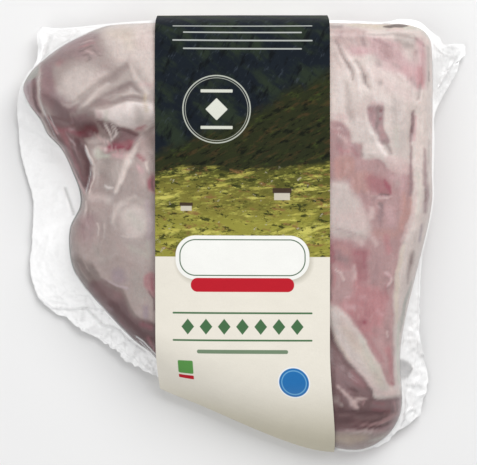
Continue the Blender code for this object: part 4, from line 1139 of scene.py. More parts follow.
# %% Adding nodes
def add_node(tree, kind, inputs=None, **settings):
    """A node of this kind. Inputs, by name or number, are values or other nodes' outputs."""
    node = tree.nodes.new(kind)
    for setting, value in settings.items():
        setattr(node, setting, value)
    for key, value in (inputs or {}).items():
        if isinstance(value, bpy.types.NodeSocket):
            tree.links.new(value, node.inputs[key])
        else:
            node.inputs[key].default_value = value
    return node


def reckon(tree, operation, *values, clamp=False):
    """The output of a Math node over up to three values or sockets."""
    node = add_node(tree, "ShaderNodeMath", dict(enumerate(values)), operation=operation, use_clamp=clamp)
    return node.outputs[0]


def ramp(tree, value, low, high, to_low=0.0, to_high=1.0):
    """A value mapped by an S curve from low..high to to_low..to_high."""
    inputs = {"Value": value, "From Min": low, "From Max": high, "To Min": to_low, "To Max": to_high}
    return add_node(tree, "ShaderNodeMapRange", inputs, interpolation_type="SMOOTHSTEP").outputs[0]


def mix(tree, share, first, second, blend_type="MIX"):
    """Two colours mixed by a share between 0 and 1."""
    inputs = {0: share, 6: first, 7: second}
    return add_node(tree, "ShaderNodeMix", inputs, data_type="RGBA", blend_type=blend_type).outputs[2]


def shaded(tree, colour, shade):
    """A colour times a shade that runs round 1."""
    grey = add_node(tree, "ShaderNodeCombineColor", {0: shade, 1: shade, 2: shade}).outputs[0]
    return mix(tree, 1.0, colour, grey, "MULTIPLY")


def add_bump(tree, shader, height, strength, distance):
    """Tilts the shader's normal by a height, whose full range counts as this distance in metres."""
    bump = add_node(tree, "ShaderNodeBump", {"Strength": strength, "Distance": distance, "Height": height})
    tree.links.new(bump.outputs[0], shader.inputs["Normal"])


def new_group(name, inputs, outputs):
    """An empty node group with these named sockets. Returns it with its input and output nodes."""
    group = bpy.data.node_groups.new(name, "ShaderNodeTree")
    kinds = {float: "NodeSocketFloat", tuple: "NodeSocketColor"}
    for socket, value in inputs.items():
        made = group.interface.new_socket(socket, in_out="INPUT", socket_type=kinds[type(value)])
        made.default_value = value
    for socket, kind in outputs.items():
        group.interface.new_socket(socket, in_out="OUTPUT", socket_type=kinds[kind])
    return group, group.nodes.new("NodeGroupInput"), group.nodes.new("NodeGroupOutput")


def new_material(name, **constants):
    """A Principled material. Constants are set on the shader itself."""
    material = bpy.data.materials.new(name)
    material.use_nodes = True
    shader = material.node_tree.nodes["Principled BSDF"]
    for socket, value in constants.items():
        shader.inputs[socket.replace("_", " ")].default_value = value
    return material, material.node_tree, shader


# %% The grain group
def build_grain():
    """Noise on Object coordinates, Size in mm, drawn out along Y by Stretch. Height is the noise, 0 to 1.
    Shade is 1 plus Contrast times 4 times the noise's distance from its middle."""
    group, given, result = new_group(
        "grain", {"Size": 2.0, "Stretch": 1.0, "Contrast": 0.1}, {"Shade": float, "Height": float}
    )
    place = add_node(group, "ShaderNodeTexCoord").outputs["Object"]
    scale = reckon(group, "DIVIDE", 1.0 / MM, given.outputs["Size"])
    along = reckon(group, "DIVIDE", scale, given.outputs["Stretch"])
    stretch = add_node(group, "ShaderNodeCombineXYZ", {"X": scale, "Y": along, "Z": scale}).outputs[0]
    spread = add_node(group, "ShaderNodeVectorMath", {0: place, 1: stretch}, operation="MULTIPLY").outputs[0]
    inputs = {"Vector": spread, "Scale": 1.0, "Detail": 4.0, "Roughness": 0.6}
    noise = add_node(group, "ShaderNodeTexNoise", inputs).outputs[0]
    centred = reckon(group, "SUBTRACT", noise, 0.5)
    swing = reckon(group, "MULTIPLY", centred, reckon(group, "MULTIPLY", given.outputs["Contrast"], 4.0))
    group.links.new(reckon(group, "ADD", swing, 1.0), result.inputs["Shade"])
    group.links.new(noise, result.inputs["Height"])
    return group


def add_grain(tree, group, size, stretch, contrast):
    """The grain group placed in a material with its own values."""
    values = {"Size": size, "Stretch": stretch, "Contrast": contrast}
    return add_node(tree, "ShaderNodeGroup", values, node_tree=group)


grain = build_grain()
print("group", grain.name, "with", len(grain.nodes), "nodes")

# %% [markdown]
# ## The meat
# Meat under film is moist: a soft body colour under a clear, smooth coat. The coat stands for the film
# where it clings. Fine grain breaks up the colour between vertices, and a low bump catches the light.

# %% The meat's material
def meat_material():
    """Painted colour times grain. Bump: fine strands over slow ripples of the clinging film."""
    material, tree, shader = new_material(
        "packed meat", Roughness=0.45, Specular_IOR_Level=0.3, Coat_Weight=0.38, Coat_Roughness=0.2,
        Coat_IOR=1.45, Subsurface_Weight=0.12, Subsurface_Scale=0.0025, Subsurface_Radius=(1.0, 0.45, 0.35),
    )
    painted = add_node(tree, "ShaderNodeAttribute", attribute_name="paint").outputs["Color"]
    fine = add_grain(tree, grain, 1.1, 1.6, 0.07)
    slow = add_grain(tree, grain, 4.5, 1.0, 0.055)
    shade = reckon(tree, "MULTIPLY", fine.outputs["Shade"], slow.outputs["Shade"])
    tree.links.new(shaded(tree, painted, shade), shader.inputs["Base Color"])
    height = reckon(tree, "MULTIPLY_ADD", slow.outputs["Height"], 2.5, fine.outputs["Height"])
    add_bump(tree, shader, height, 0.35, 0.0006)
    return material


packed_meat = meat_material()
print(packed_meat.name, "has", len(packed_meat.node_tree.nodes), "nodes")

# %% The meat's mesh
MEAT_CORE, MEAT_WALL, MEAT_FINENESS, MEAT_PACKING = 36, 12, 3, 0.7
BAG_GAP = 0.45


def lifted(plan, height):
    """The plan's points at these heights, as rows of x, y and z."""
    return np.stack([plan.x, plan.y, height], -1)


top_plan = pack_plan(MEAT_CORE * MEAT_FINENESS, MEAT_WALL * MEAT_FINENESS, 0, MEAT_PACKING)
low_plan = pack_plan(MEAT_CORE, MEAT_WALL, 0, MEAT_PACKING)
top_height = tight_skin(top_plan)[0] + fine_relief(top_plan)
meat_points, meat_faces = closed_skin(lifted(top_plan, top_height), lifted(low_plan, tight_skin(low_plan)[1]))
meat = make_piece("meat", meat_points, meat_faces, [packed_meat])
shift_along_normals(meat, -BAG_GAP)
meat_paint = [top_colours(top_plan).reshape(-1, 3), bottom_colours(low_plan).reshape(-1, 3)]
store(meat, "paint", np.concatenate(meat_paint))
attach(meat, "root")
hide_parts("vacuum_pack")
print("meat:", len(meat.data.polygons), "faces")

# %% [markdown]
# ## The bag
# The bag is one closed clear skin: tight over the meat, then two layers sealed flat as the flange. Clear
# film shows mainly by its edges and creases, which scatter light. So each vertex carries how cloudy the
# film is there, and the material turns that into how much it hides.

# %% Creases of the film
FLANGE_CREASES = {
    # Each: half width, height, cloudiness, points.
    # Negative cloudiness clears the film over the shaded floor: painted shade; positive whitens: painted
    # highlight.
    "left flange": (1.1, -1.0, -0.35, [(-120, 31), (-117, 22), (-114, 14)]),
    "left flange, lit side": (1.2, 0.6, 0.25, [(-122, 30), (-119.5, 22), (-117, 14)]),
    "lower left, first ridge": (0.8, 1.0, -0.16, [(-139, -43), (-129, -50.5), (-117, -51), (-105.5, -50.3)]),
    "lower left, second ridge": (0.9, 1.2, -0.14, [(-108, -50.5), (-109, -59)]),
    "lower left, third ridge": (0.8, 1.2, -0.18, [
        (-105.5, -50.3), (-94.5, -62), (-87.6, -63.3), (-83, -65.3),
    ]),
    "lower left, fourth ridge": (0.8, 1.0, -0.12, [(-94, -71), (-88, -65)]),
    "lower left, fifth ridge": (0.8, 1.0, -0.14, [(-83, -66), (-76, -73), (-66, -80)]),
    "top left flap, fold": (1.4, -1.0, -0.20, [(-131, 133), (-133, 124), (-136, 117)]),
    "top left flap, second fold": (1.6, -0.8, -0.10, [(-112, 137), (-118, 131), (-127, 126)]),
    "top left flap, lit": (1.0, 0.7, 0.20, [(-135, 132), (-136, 122)]),
    "top left flap, edge": (0.6, 0.4, 0.35, [(-138, 139), (-120, 139.5), (-98, 141)]),
    "right end, first": (0.8, 1.0, -0.12, [(108, -101), (115, -103), (124, -103)]),
    "right end, second": (0.8, 1.2, -0.12, [(111, -106), (112.5, -115), (111, -126)]),
    "right end, third": (0.8, 1.0, -0.12, [(113, -121), (118, -119), (122, -124)]),
    "right end, fourth": (0.8, 1.0, -0.10, [(115, -107), (119, -111), (126, -109)]),
    "right side line": (0.5, 0.4, -0.10, [(121, -20), (120.5, -50), (120.5, -80)]),
    "top right flap": (0.8, 0.9, -0.12, [(134, 100), (142, 113), (149, 125)]),
    "top right flap, second": (0.7, 0.7, -0.10, [(131, 128), (138, 122), (148, 121)]),
}
# The wrinkles over the meat are made cloudier than the film between them: mostly painted highlights.
MEAT_WRINKLES = {
    "fold line on the lobe": (0.40, 0.5, 0.30, [(-139, 116), (-134, 101), (-133, 86), (-130, 78)]),
    "line down the wedge": (0.40, 0.5, 0.22, [(-131, 80), (-127, 71), (-122, 62)]),
    "line beside it": (0.35, 0.5, 0.25, [(-127, 78), (-124, 71), (-121, 67)]),
    "lip of the waist": (0.45, 0.5, 0.35, [(-104, 58), (-99.5, 47), (-101, 38), (-104, 28)]),
    "glint": (0.8, 0.5, 0.20, [(-91, 31.5), (-86, 31)]),
    "edge of the lobe": (0.5, 0.3, 0.12, [(-139, 115), (-122, 124), (-108, 131), (-90, 139)]),
    "lower left lip": (1.4, 0.2, 0.85, [
        (-112, -29), (-106.5, -37), (-94, -50), (-81, -64.5), (-68, -77), (-58, -86),
    ]),
    "crossing lines, first": (0.55, 0.4, 0.60, [(-70, -68.5), (-66, -71), (-60, -78), (-56.5, -81.5)]),
    "crossing lines, second": (0.50, 0.4, 0.45, [(-68, -71.5), (-64, -76.5), (-60, -80.5), (-56.5, -84)]),
    "top edge bump": (1.2, 0.8, 0.55, [(96, 142), (102, 144), (110, 143)]),
}
# Places on the flange where the film is made clearer, so that the shaded floor under it shows and it
# looks grey: painted shade on the flaps, by the right side and under a bubble.
CLEARER_FOR_SHADE = [
    patch("rim grey", 1.6, [(105, -86), (109, -85), (117, -90.5), (113, -98), (106, -99)], 0.6),
    patch("rim grey", 4, [
        (-137, 126), (-128, 138), (-112, 139), (-108, 134), (-124, 126), (-134, 118),
    ], 0.34),
    patch("rim grey", 5, [(130, 92), (131, 128), (138, 134), (148, 124), (146, 96)], 0.3),
    patch("rim grey", 2.4, [
        (118, -8), (114.6, -30), (108.6, -54), (106.6, -68), (109, -66), (112.4, -50), (116.4, -30),
        (119.6, -12),
    ], 0.26),
]
print(len(FLANGE_CREASES) + len(MEAT_WRINKLES), "creases of the film")

# %% Form of the bag
# Where the flange is crumpled: direction from the middle, half spread (both in degrees), wave height.
CRUMPLES = ((228, 26, 1.6), (318, 22, 1.6), (40, 8, 1.0), (135, 7, 1.0), (180, 40, 0.5))
CRUMPLE_WAVES = (23, 37)
FACET_SIZE, SMALL_FACET_SIZE, FACET_HEIGHT, SMALL_FACET_HEIGHT, EDGE_JAG = 8.0, 8.0 / 2.3, 1.5, 0.9, 0.6
FACET_SEED, SMALL_FACET_SEED = 201, 211
# How wide the flange has to be for waves and facets to reach their full height.
WAVES_FULL_WIDTH, FACETS_FULL_WIDTH = 10.0, 8.0


def crumpled(angle):
    """How crumpled the flange is in each direction, 0 smooth to about 1.6."""
    amount = np.zeros(angle.shape)
    for middle, spread, rise in CRUMPLES:
        off = (np.degrees(angle) - middle + 180.0) % 360.0 - 180.0
        amount += rise * np.exp(-((off / spread) ** 2))
    return amount


def past_seam(plan):
    """0 at the seam, 1 from a third of the way out over the flange."""
    return smoothstep(plan.out * 3.0)


def flange_height(plan):
    """From the seam down to the film edge, plus waves round the rim and facets where it is crumpled."""
    edge = np.maximum(FLANGE_EDGE_HEIGHT, plan.seam_height - FLANGE_DROP * plan.width)
    slow, quick = CRUMPLE_WAVES
    waves = 0.6 * np.sin(math.tau * slow * plan.share) + 0.4 * np.sin(math.tau * quick * plan.share + 1.0)
    amount = crumpled(plan.angle)
    height = plan.seam_height + (edge - plan.seam_height) * plan.out
    height += amount * waves * plan.out * smoothstep(plan.width / WAVES_FULL_WIDTH)
    crumple = FACET_HEIGHT * (facets(plan.x, plan.y, FACET_SIZE, FACET_SEED)[0] - 0.5)
    crumple += SMALL_FACET_HEIGHT * (facets(plan.x, plan.y, SMALL_FACET_SIZE, SMALL_FACET_SEED)[0] - 0.5)
    crumple *= np.minimum(amount, 1.0) * smoothstep(plan.width / FACETS_FULL_WIDTH)
    return height + crumple * past_seam(plan)


def crease_field(x, y, creases):
    """Height and cloudiness that the creases add: a bell across each crease's line."""
    height, white = np.zeros(x.shape), np.zeros(x.shape)
    for half_width, rise, cloudiness, line in creases.values():
        bell = np.exp(-((line_distance(x, y, line) / half_width) ** 2))
        height += rise * bell
        white += cloudiness * bell
    return height, white


print("the flange is crumpled most, by", crumpled(np.linspace(0.0, math.tau, 361)).max().round(2))

# %% Height and cloudiness of the bag's upper layer
# Cloudiness of the film over the meat and on the flange, what the meat's rim and the cut edge add to it,
# and what the ridges of the facets take away, which leaves grey lines of painted shade along them.
FILM_OVER_MEAT, FILM_FLANGE, RIM_CLOUD, EDGE_CLOUD, RIDGE_CLEARNESS = 0.02, 0.99, 0.04, 0.35, 0.22
RIDGE_LINE, RIM_WIDTH, CUT_EDGE = 0.16, 8.0, 0.965
# Film spans the hollows in the meat's relief, and follows only this share of their depth.
HOLLOW_SHARE = 0.35


def flange_cloudiness(plan):
    """Cloudy film, clearer along the ridges of its facets and in patches, where it shows grey as painted
    shade; cloudiest at its cut edge."""
    ridges = smoothstep(1.0 - facets(plan.x, plan.y, FACET_SIZE, FACET_SEED)[1] / RIDGE_LINE)
    ridges *= smoothstep((crumpled(plan.angle) - 0.5) / 0.8)
    patchy = smoothstep((cloud(plan.x, plan.y, 9.0, 241) + 0.4) / 0.6)
    white = FILM_FLANGE - RIDGE_CLEARNESS * ridges * patchy + 0.02 * cloud(plan.x, plan.y, 18.0, 231)
    for mark in CLEARER_FOR_SHADE:
        white -= mark.strength * cover(plan.x, plan.y, mark)
    return white + EDGE_CLOUD * smoothstep((plan.out - CUT_EDGE) / 0.03)


def bag_top(plan):
    """Height and cloudiness of the bag's upper layer: over the meat its relief and wrinkles, on the flange
    its own form and creases."""
    relief = fine_relief(plan)
    wrinkle, wrinkle_white = crease_field(plan.x, plan.y, MEAT_WRINKLES)
    over_meat = tight_skin(plan)[0] + np.maximum(relief, HOLLOW_SHARE * relief)
    over_meat += wrinkle * clear_of_sleeve(plan.x, plan.y)
    white_meat = FILM_OVER_MEAT + wrinkle_white
    white_meat += RIM_CLOUD * smoothstep((RIM_WIDTH - plan.inward) / RIM_WIDTH)
    crease, crease_white = crease_field(plan.x, plan.y, FLANGE_CREASES)
    flange = np.maximum(flange_height(plan) + crease * past_seam(plan), FLANGE_CLEARANCE + FLANGE_THICKNESS)
    white_flange = flange_cloudiness(plan) + crease_white
    on_flange = plan.out > 0.0
    return np.where(on_flange, flange, over_meat), np.where(on_flange, white_flange, white_meat)


# %% [markdown]
# The film's material is a thin glossy white that hides little: its alpha is the stored cloudiness. Alpha
# thins the highlights too, which is why the creases are made cloudier than the film between them: their
# whiteness is a painted highlight, and a crease made clearer shows the shaded floor as painted shade.

# %% The film's material
def film_material():
    """Glossy white, alpha from the stored cloudiness, with fine ripples as bump."""
    material, tree, shader = new_material(
        "clear film", Base_Color=(0.99, 0.99, 0.99, 1.0), Roughness=0.16, IOR=1.5, Coat_Weight=0.25,
        Coat_Roughness=0.08,
    )
    white = add_node(tree, "ShaderNodeAttribute", attribute_name="cloudiness").outputs["Fac"]
    ripple = add_grain(tree, grain, 2.2, 1.0, 0.03)
    alpha = reckon(tree, "MULTIPLY", white, ripple.outputs["Shade"], clamp=True)
    tree.links.new(alpha, shader.inputs["Alpha"])
    add_bump(tree, shader, ripple.outputs["Height"], 0.3, 0.0005)
    return material


clear_film = film_material()
print(clear_film.name, "has", len(clear_film.node_tree.nodes), "nodes")

# %% The film's mesh
FILM_CORE, FILM_WALL, FILM_FLANGE_RINGS = 40, 32, 37
LOW_FLANGE_CLOUD, LOW_MEAT_CLOUD = 0.10, 0.06
JAGS_ROUND = 60.0

film_plan = pack_plan(FILM_CORE, FILM_WALL, FILM_FLANGE_RINGS, MEAT_PACKING)
jag_noise = soft_noise(JAGS_ROUND * film_plan.angle, np.zeros(film_plan.angle.shape), 1.0, 251)
jag = EDGE_JAG * crumpled(film_plan.angle) * jag_noise
film_plan.x += jag * film_plan.out * np.cos(film_plan.angle)
film_plan.y += jag * film_plan.out * np.sin(film_plan.angle)
film_height, cloudiness = bag_top(film_plan)
film_low = np.where(film_plan.out > 0.0, film_height - FLANGE_THICKNESS, tight_skin(film_plan)[1])
film_points, film_faces = closed_skin(lifted(film_plan, film_height), lifted(film_plan, film_low))
film = make_piece("film", film_points, film_faces, [clear_film])
low_cloudiness = np.where(film_plan.out > 0.0, LOW_FLANGE_CLOUD, LOW_MEAT_CLOUD)
store(film, "cloudiness", np.concatenate([cloudiness.ravel(), low_cloudiness.ravel()]))
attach(film, "root")
print("film:", len(film.data.polygons), "faces")

# %% [markdown]
# ## The card sleeve
# Card bends one way only and spans every hollow. So each cross-section of the sleeve is the convex hull of
# the pack's own cross-section there, set off by a small gap, just as a taut band would lie. The hull is
# sampled anew with even steps, and with more points at the bends.

# %% Loops of the sleeve
SLEEVE_SLACK, SLACK_START, SLACK_RUN, SLACK_FLOOR = 0.9, 90.0, 50.0, 6.0
SLEEVE_STATIONS, SLEEVE_STEPS, SLEEVE_WINDOW = 25, 240, 5.75
CORNER_WEIGHT, CIRCLE_STEPS = 30.0, 24


def cross_section(points, ends, at):
    """Where the mesh's edges cross the plane that stands at this distance beside the sleeve's middle line."""
    off = beside_sleeve(points[:, 0], points[:, 1]) - at
    start, end = ends[(off[ends[:, 0]] > 0.0) != (off[ends[:, 1]] > 0.0)].T
    share = (off[start] / (off[start] - off[end]))[:, None]
    return (points[start] + share * (points[end] - points[start]))[:, 1:]


def even_loop(hull):
    """SLEEVE_STEPS points round a convex loop, from the middle of its underside by way of +Y. The spacing
    counts a full turn of the card as worth CORNER_WEIGHT times its angle."""
    hull = hull[np.linalg.norm(np.roll(hull, -1, 0) - hull, axis=1) > SLEEVE_GAP / 20]
    after = np.roll(hull, -1, 0)
    cuts = []
    for crossing in np.flatnonzero((hull[:, 0] <= 0.0) != (after[:, 0] <= 0.0)):
        run = after[crossing] - hull[crossing]
        cuts.append((crossing, hull[crossing] - hull[crossing, 0] / run[0] * run))
    low, high = sorted(cuts, key=lambda cut: cut[1][1])
    rows = []
    for (start, start_point), (end, end_point) in ((low, high), (high, low)):
        between = (start + 1 + np.arange((end - start) % len(hull))) % len(hull)
        path = np.concatenate([[start_point], hull[between], [end_point]])
        leg = np.diff(path, axis=0)
        heading = np.unwrap(np.arctan2(leg[:, 1], leg[:, 0]))
        turn = np.concatenate([[0.0], abs(np.diff(heading)), [0.0]])
        length = np.hypot(leg[:, 0], leg[:, 1]) + CORNER_WEIGHT * (turn[:-1] + turn[1:]) / 2
        along = np.concatenate([[0.0], np.cumsum(length)])
        at = np.arange(SLEEVE_STEPS // 2) / (SLEEVE_STEPS // 2) * along[-1]
        rows.append(np.stack([np.interp(at, along, path[:, axis]) for axis in (0, 1)], -1))
    return np.concatenate(rows)


def sleeve_loop(points, ends, at):
    """The hull round the pack's section near this plane, set off by the gap and by slack towards +Y."""
    half = SLEEVE_WIDTH / 2
    planes = np.clip([at - SLEEVE_WINDOW, at, at + SLEEVE_WINDOW], -half, half)
    section = np.concatenate([cross_section(points, ends, plane) for plane in planes])
    turn = np.arange(CIRCLE_STEPS) * math.tau / CIRCLE_STEPS
    slack = smoothstep((section[:, :1] - SLACK_START) / SLACK_RUN) * (section[:, 1:] > SLACK_FLOOR)
    gap = SLEEVE_GAP + SLEEVE_SLACK * slack
    around = (section[:, None] + gap[:, None] * np.stack([np.cos(turn), np.sin(turn)], -1)).reshape(-1, 2)
    return even_loop(around[convex_hull_2d([tuple(point) for point in around])])


# %% The sleeve's surface
FORM_CORE, FORM_WALL, FORM_FLANGE = 32, 10, 6
SMOOTHING_PASSES, TOP_FOLD_REACH = 3, 148.4

form_plan = pack_plan(FORM_CORE, FORM_WALL, FORM_FLANGE)
form_top, form_low = tight_skin(form_plan)
form_seam, form_out = form_plan.seam_height, form_plan.out > 0.0
form_points, form_faces = closed_skin(
    lifted(form_plan, np.where(form_out, form_seam, form_top)),
    lifted(form_plan, np.where(form_out, form_seam - FLANGE_THICKNESS, form_low)),
)
form_quads = np.array([face for face in form_faces if len(face) == 4])
form_ends = np.stack([form_quads, np.roll(form_quads, -1, 1)], -1).reshape(-1, 2)
form_ends = np.unique(np.sort(form_ends, 1), axis=0)
stations = np.linspace(-SLEEVE_WIDTH / 2, SLEEVE_WIDTH / 2, SLEEVE_STATIONS)
inner = np.stack([sleeve_loop(form_points, form_ends, at) for at in stations])
for _pass in range(SMOOTHING_PASSES):
    inner = (np.roll(inner, 1, 1) + 2.0 * inner + np.roll(inner, -1, 1)) / 4.0
    inner[1:-1] = (inner[:-2] + 2.0 * inner[1:-1] + inner[2:]) / 4.0
# The card was creased straight across at its +Y end, so every station reaches equally far there.
short_by = TOP_FOLD_REACH - SLEEVE_THICKNESS - inner[..., 0].max(1, keepdims=True)
inner[..., 0] += short_by * smoothstep((inner[..., 0] - SLACK_START) / SLACK_RUN)
ahead = np.roll(inner, -1, 1) - np.roll(inner, 1, 1)
ahead /= np.linalg.norm(ahead, axis=-1, keepdims=True)
outer = inner + SLEEVE_THICKNESS * np.stack([ahead[..., 1], -ahead[..., 0]], -1)
outer[..., 1] = np.maximum(outer[..., 1], 0.0)


def placed(loops):
    """Loops of (y, z) at their stations as points, slid towards +X down the slanted end."""
    x = SLEEVE_MIDDLE_X + stations[:, None] + sleeve_drift(loops[..., 0])
    return np.concatenate([x[..., None], loops], -1).reshape(-1, 3)


sleeve_steps = np.linalg.norm(np.roll(outer, -1, 1) - outer, axis=-1)
print("the sleeve's loop is", sleeve_steps.sum(1).mean().round(1), "mm round")

# %% [markdown]
# ## The sleeve's print
# The print is a generic one in the colours of such packs: dark hills above, a meadow, and a cream panel
# with plain ornaments. It could be a picture wrapped round the card. Drawn by nodes it stays sharp, and
# every field and rule keeps its size in millimetres across and along the card.

# %% The plate group
PRINT_SPAN = 800.0


def build_plate():
    """Mask of a rounded plate: 1 inside. Distance = length of the part of |place - middle| beyond the half
    sizes, less the corner radius."""
    numbers = {
        "Across": 0.0, "Along": 0.0, "Middle Across": 0.0, "Middle Along": 0.0,
        "Half Width": 1.0, "Half Height": 1.0, "Corner": 1.0, "Softness": 0.3,
    }
    group, given, result = new_group("plate", numbers, {"Mask": float})
    squares = []
    for way, half in (("Across", "Half Width"), ("Along", "Half Height")):
        off = reckon(group, "SUBTRACT", given.outputs[way], given.outputs["Middle " + way])
        beyond = reckon(group, "SUBTRACT", reckon(group, "ABSOLUTE", off), given.outputs[half])
        squares.append(reckon(group, "POWER", reckon(group, "MAXIMUM", beyond, 0.0), 2.0))
    length = reckon(group, "SQRT", reckon(group, "ADD", *squares))
    distance = reckon(group, "SUBTRACT", length, given.outputs["Corner"])
    share = reckon(group, "DIVIDE", distance, given.outputs["Softness"])
    group.links.new(reckon(group, "SUBTRACT", 0.5, share, clamp=True), result.inputs["Mask"])
    return group


plate = build_plate()
print("group", plate.name, "with", len(plate.nodes), "nodes")

# %% [markdown]
# A print is laid down ink over ink. So the card's colour so far is kept beside its two coordinates, and
# each step mixes one more tone over it through a mask: a hill's line, patches of noise, or a plate.

# %% Inks, and laying one over another
# Screen tones, as in the tones of the meat.
INK = {
    "deep mountain": (13, 19, 28), "pale mountain": (26, 34, 42), "wooded slope": (42, 46, 24),
    "panel": (230, 225, 213), "back": (226, 221, 209), "raw card": (226, 222, 212),
    "rule": (206, 210, 206), "ring": (208, 212, 200), "bar": (226, 228, 216), "wall": (206, 198, 184),
    "roof": (62, 46, 40), "plate shadow": (96, 88, 60), "plate": (240, 240, 236), "plate line": (58, 92, 60),
    "red": (186, 30, 44), "green": (72, 110, 74), "disc rim": (236, 240, 242), "disc": (40, 112, 176),
    "disc ring": (120, 178, 216), "tag": (92, 150, 78), "fold shade": (168, 160, 128),
}


def screen(tone):
    """A screen tone as a shader colour."""
    return (*linear(tone).tolist(), 1.0)


def blank_card(tree):
    """The card's coordinates in millimetres, across it and along it from the top middle, and no ink yet."""
    place = add_node(tree, "ShaderNodeUVMap", uv_map="print").outputs[0]
    parts = add_node(tree, "ShaderNodeSeparateXYZ", {0: place})
    across = reckon(tree, "MULTIPLY_ADD", parts.outputs[0], SLEEVE_WIDTH, -SLEEVE_WIDTH / 2)
    along = reckon(tree, "MULTIPLY_ADD", parts.outputs[1], PRINT_SPAN, -PRINT_SPAN / 2)
    spot = add_node(tree, "ShaderNodeCombineXYZ", {"X": across, "Y": along}).outputs[0]
    return SimpleNamespace(tree=tree, across=across, along=along, spot=spot, colour=None)


def lay(card, tone, mask, strength=1.0):
    """Mixes this tone over the print so far, where the mask allows."""
    share = reckon(card.tree, "MULTIPLY", mask, strength)
    card.colour = mix(card.tree, share, card.colour, screen(tone))


def card_noise(card, length, width, turn=0.0, detail=5.0, roughness=0.6):
    """Noise over the card in patches of this length and width in mm, their length turned from across."""
    inputs = {"Vector": card.spot, "Rotation": (0.0, 0.0, math.radians(turn)), "Scale": (length, width, 1.0)}
    place = add_node(card.tree, "ShaderNodeMapping", inputs, vector_type="TEXTURE").outputs[0]
    inputs = {"Vector": place, "Scale": 1.0, "Detail": detail, "Roughness": roughness}
    return add_node(card.tree, "ShaderNodeTexNoise", inputs).outputs[0]


def below_line(card, line, sway, run, softness, lean):
    """Mask of all that lies below a hill line at this height, swaying with noise, leaning across."""
    wave = reckon(card.tree, "SUBTRACT", card_noise(card, run, 4.0 * run), 0.5)
    level = reckon(card.tree, "MULTIPLY_ADD", card.across, lean, line)
    height = reckon(card.tree, "MULTIPLY_ADD", wave, sway, level)
    return ramp(card.tree, reckon(card.tree, "SUBTRACT", height, card.along), -softness, softness)


def scatter(card, patches, field):
    """Lays each tone of a table in patches of noise, within the mask of a field."""
    for tone, strength, low, high, *noise in patches:
        patchy = ramp(card.tree, card_noise(card, *noise), low, high)
        lay(card, tone, reckon(card.tree, "MULTIPLY", field, patchy), strength)


print(len(INK), "inks")

# %% The landscape
# Each: tone, strength, the noise where it starts to show and where it shows fully, and then the length,
# width, turn, detail and roughness of that noise.
MOUNTAIN_PATCHES = [
    ((42, 52, 38), 0.85, 0.44, 0.62, 34.0, 16.0, -35.0, 5.0, 0.6),
    ((66, 74, 84), 0.6, 0.55, 0.72, 9.0, 3.0, 60.0, 6.0, 0.7),
    ((8, 12, 16), 0.85, 0.52, 0.66, 16.0, 5.0, 65.0, 6.0, 0.65),
]
SLOPE_PATCHES = [
    ((72, 56, 34), 0.75, 0.50, 0.66, 14.0, 4.0, 28.0, 6.0, 0.7),
    ((66, 78, 34), 0.6, 0.54, 0.68, 12.0, 5.0, 24.0, 6.0, 0.7),
    ((14, 18, 12), 0.85, 0.51, 0.62, 10.0, 3.4, 26.0, 6.0, 0.7),
]
MEADOW_PATCHES = [
    ((82, 84, 36), 0.6, 0.50, 0.60, 38.0, 13.0, 14.0, 6.0, 0.68),
    ((206, 200, 104), 0.8, 0.53, 0.63, 30.0, 8.0, 6.0, 6.0, 0.68),
    ((196, 188, 92), 0.75, 0.52, 0.66, 20.0, 5.0, 8.0, 6.0, 0.68),
    ((132, 98, 60), 0.8, 0.54, 0.63, 15.0, 6.0, -6.0, 6.0, 0.68),
    ((166, 168, 78), 0.6, 0.52, 0.66, 7.0, 2.2, 12.0, 6.0, 0.68),
    ((44, 50, 22), 0.9, 0.55, 0.61, 11.0, 4.6, -4.0, 6.0, 0.68),
    ((176, 168, 146), 0.8, 0.62, 0.66, 6.0, 4.0, 30.0, 6.0, 0.68),
    ((38, 42, 20), 0.85, 0.59, 0.64, 4.4, 2.6, 0.0, 6.0, 0.68),
]
# Hill lines: height of the line, sway, run of the sway, softness, lean.
SLOPE_LINE, MEADOW_LINE = (78.0, 44.0, 60.0, 5.0, 0.55), (44.0, 20.0, 44.0, 2.0, 0.05)
OPEN_HILLS = {
    (88, 88, 38): (42.0, 22.0, 48.0, 2.0, 0.10),
    (122, 116, 52): (30.0, 16.0, 40.0, 5.0, -0.08),
    (146, 142, 62): (12.0, 14.0, 44.0, 7.0, 0.06),
}


def draw_landscape(card):
    """A blue-black mountainside with grey rock and dark gullies, a wooded slope falling to the left with
    rows of shadow, open hills, and a sunny meadow."""
    mountain = screen(INK["deep mountain"]), screen(INK["pale mountain"])
    card.colour = mix(card.tree, card_noise(card, 60.0, 40.0), *mountain)
    scatter(card, MOUNTAIN_PATCHES, 1.0)
    slope = below_line(card, *SLOPE_LINE)
    lay(card, INK["wooded slope"], slope, 0.9)
    scatter(card, SLOPE_PATCHES, slope)
    for tone, line in OPEN_HILLS.items():
        lay(card, tone, below_line(card, *line), 0.95)
    scatter(card, MEADOW_PATCHES, below_line(card, *MEADOW_LINE))


print(len(MOUNTAIN_PATCHES + SLOPE_PATCHES + MEADOW_PATCHES), "kinds of patches in the landscape")

# %% The panel, the card's plain ends, and painted shade at the lower fold
PANEL_TOP, TOP_FOLD, FOLD_SLANT, PRINT_BLUR = -15.0, 166.8, -0.028, 0.2


def draw_panel(card):
    """The cream panel below the landscape, and the plain card past the top fold."""
    panel = ramp(card.tree, card.along, PANEL_TOP - PRINT_BLUR, PANEL_TOP + PRINT_BLUR, 1.0, 0.0)
    lay(card, INK["panel"], panel)
    fold = reckon(card.tree, "MULTIPLY_ADD", card.across, FOLD_SLANT, card.along)
    lay(card, INK["back"], ramp(card.tree, fold, TOP_FOLD - PRINT_BLUR, TOP_FOLD + PRINT_BLUR))


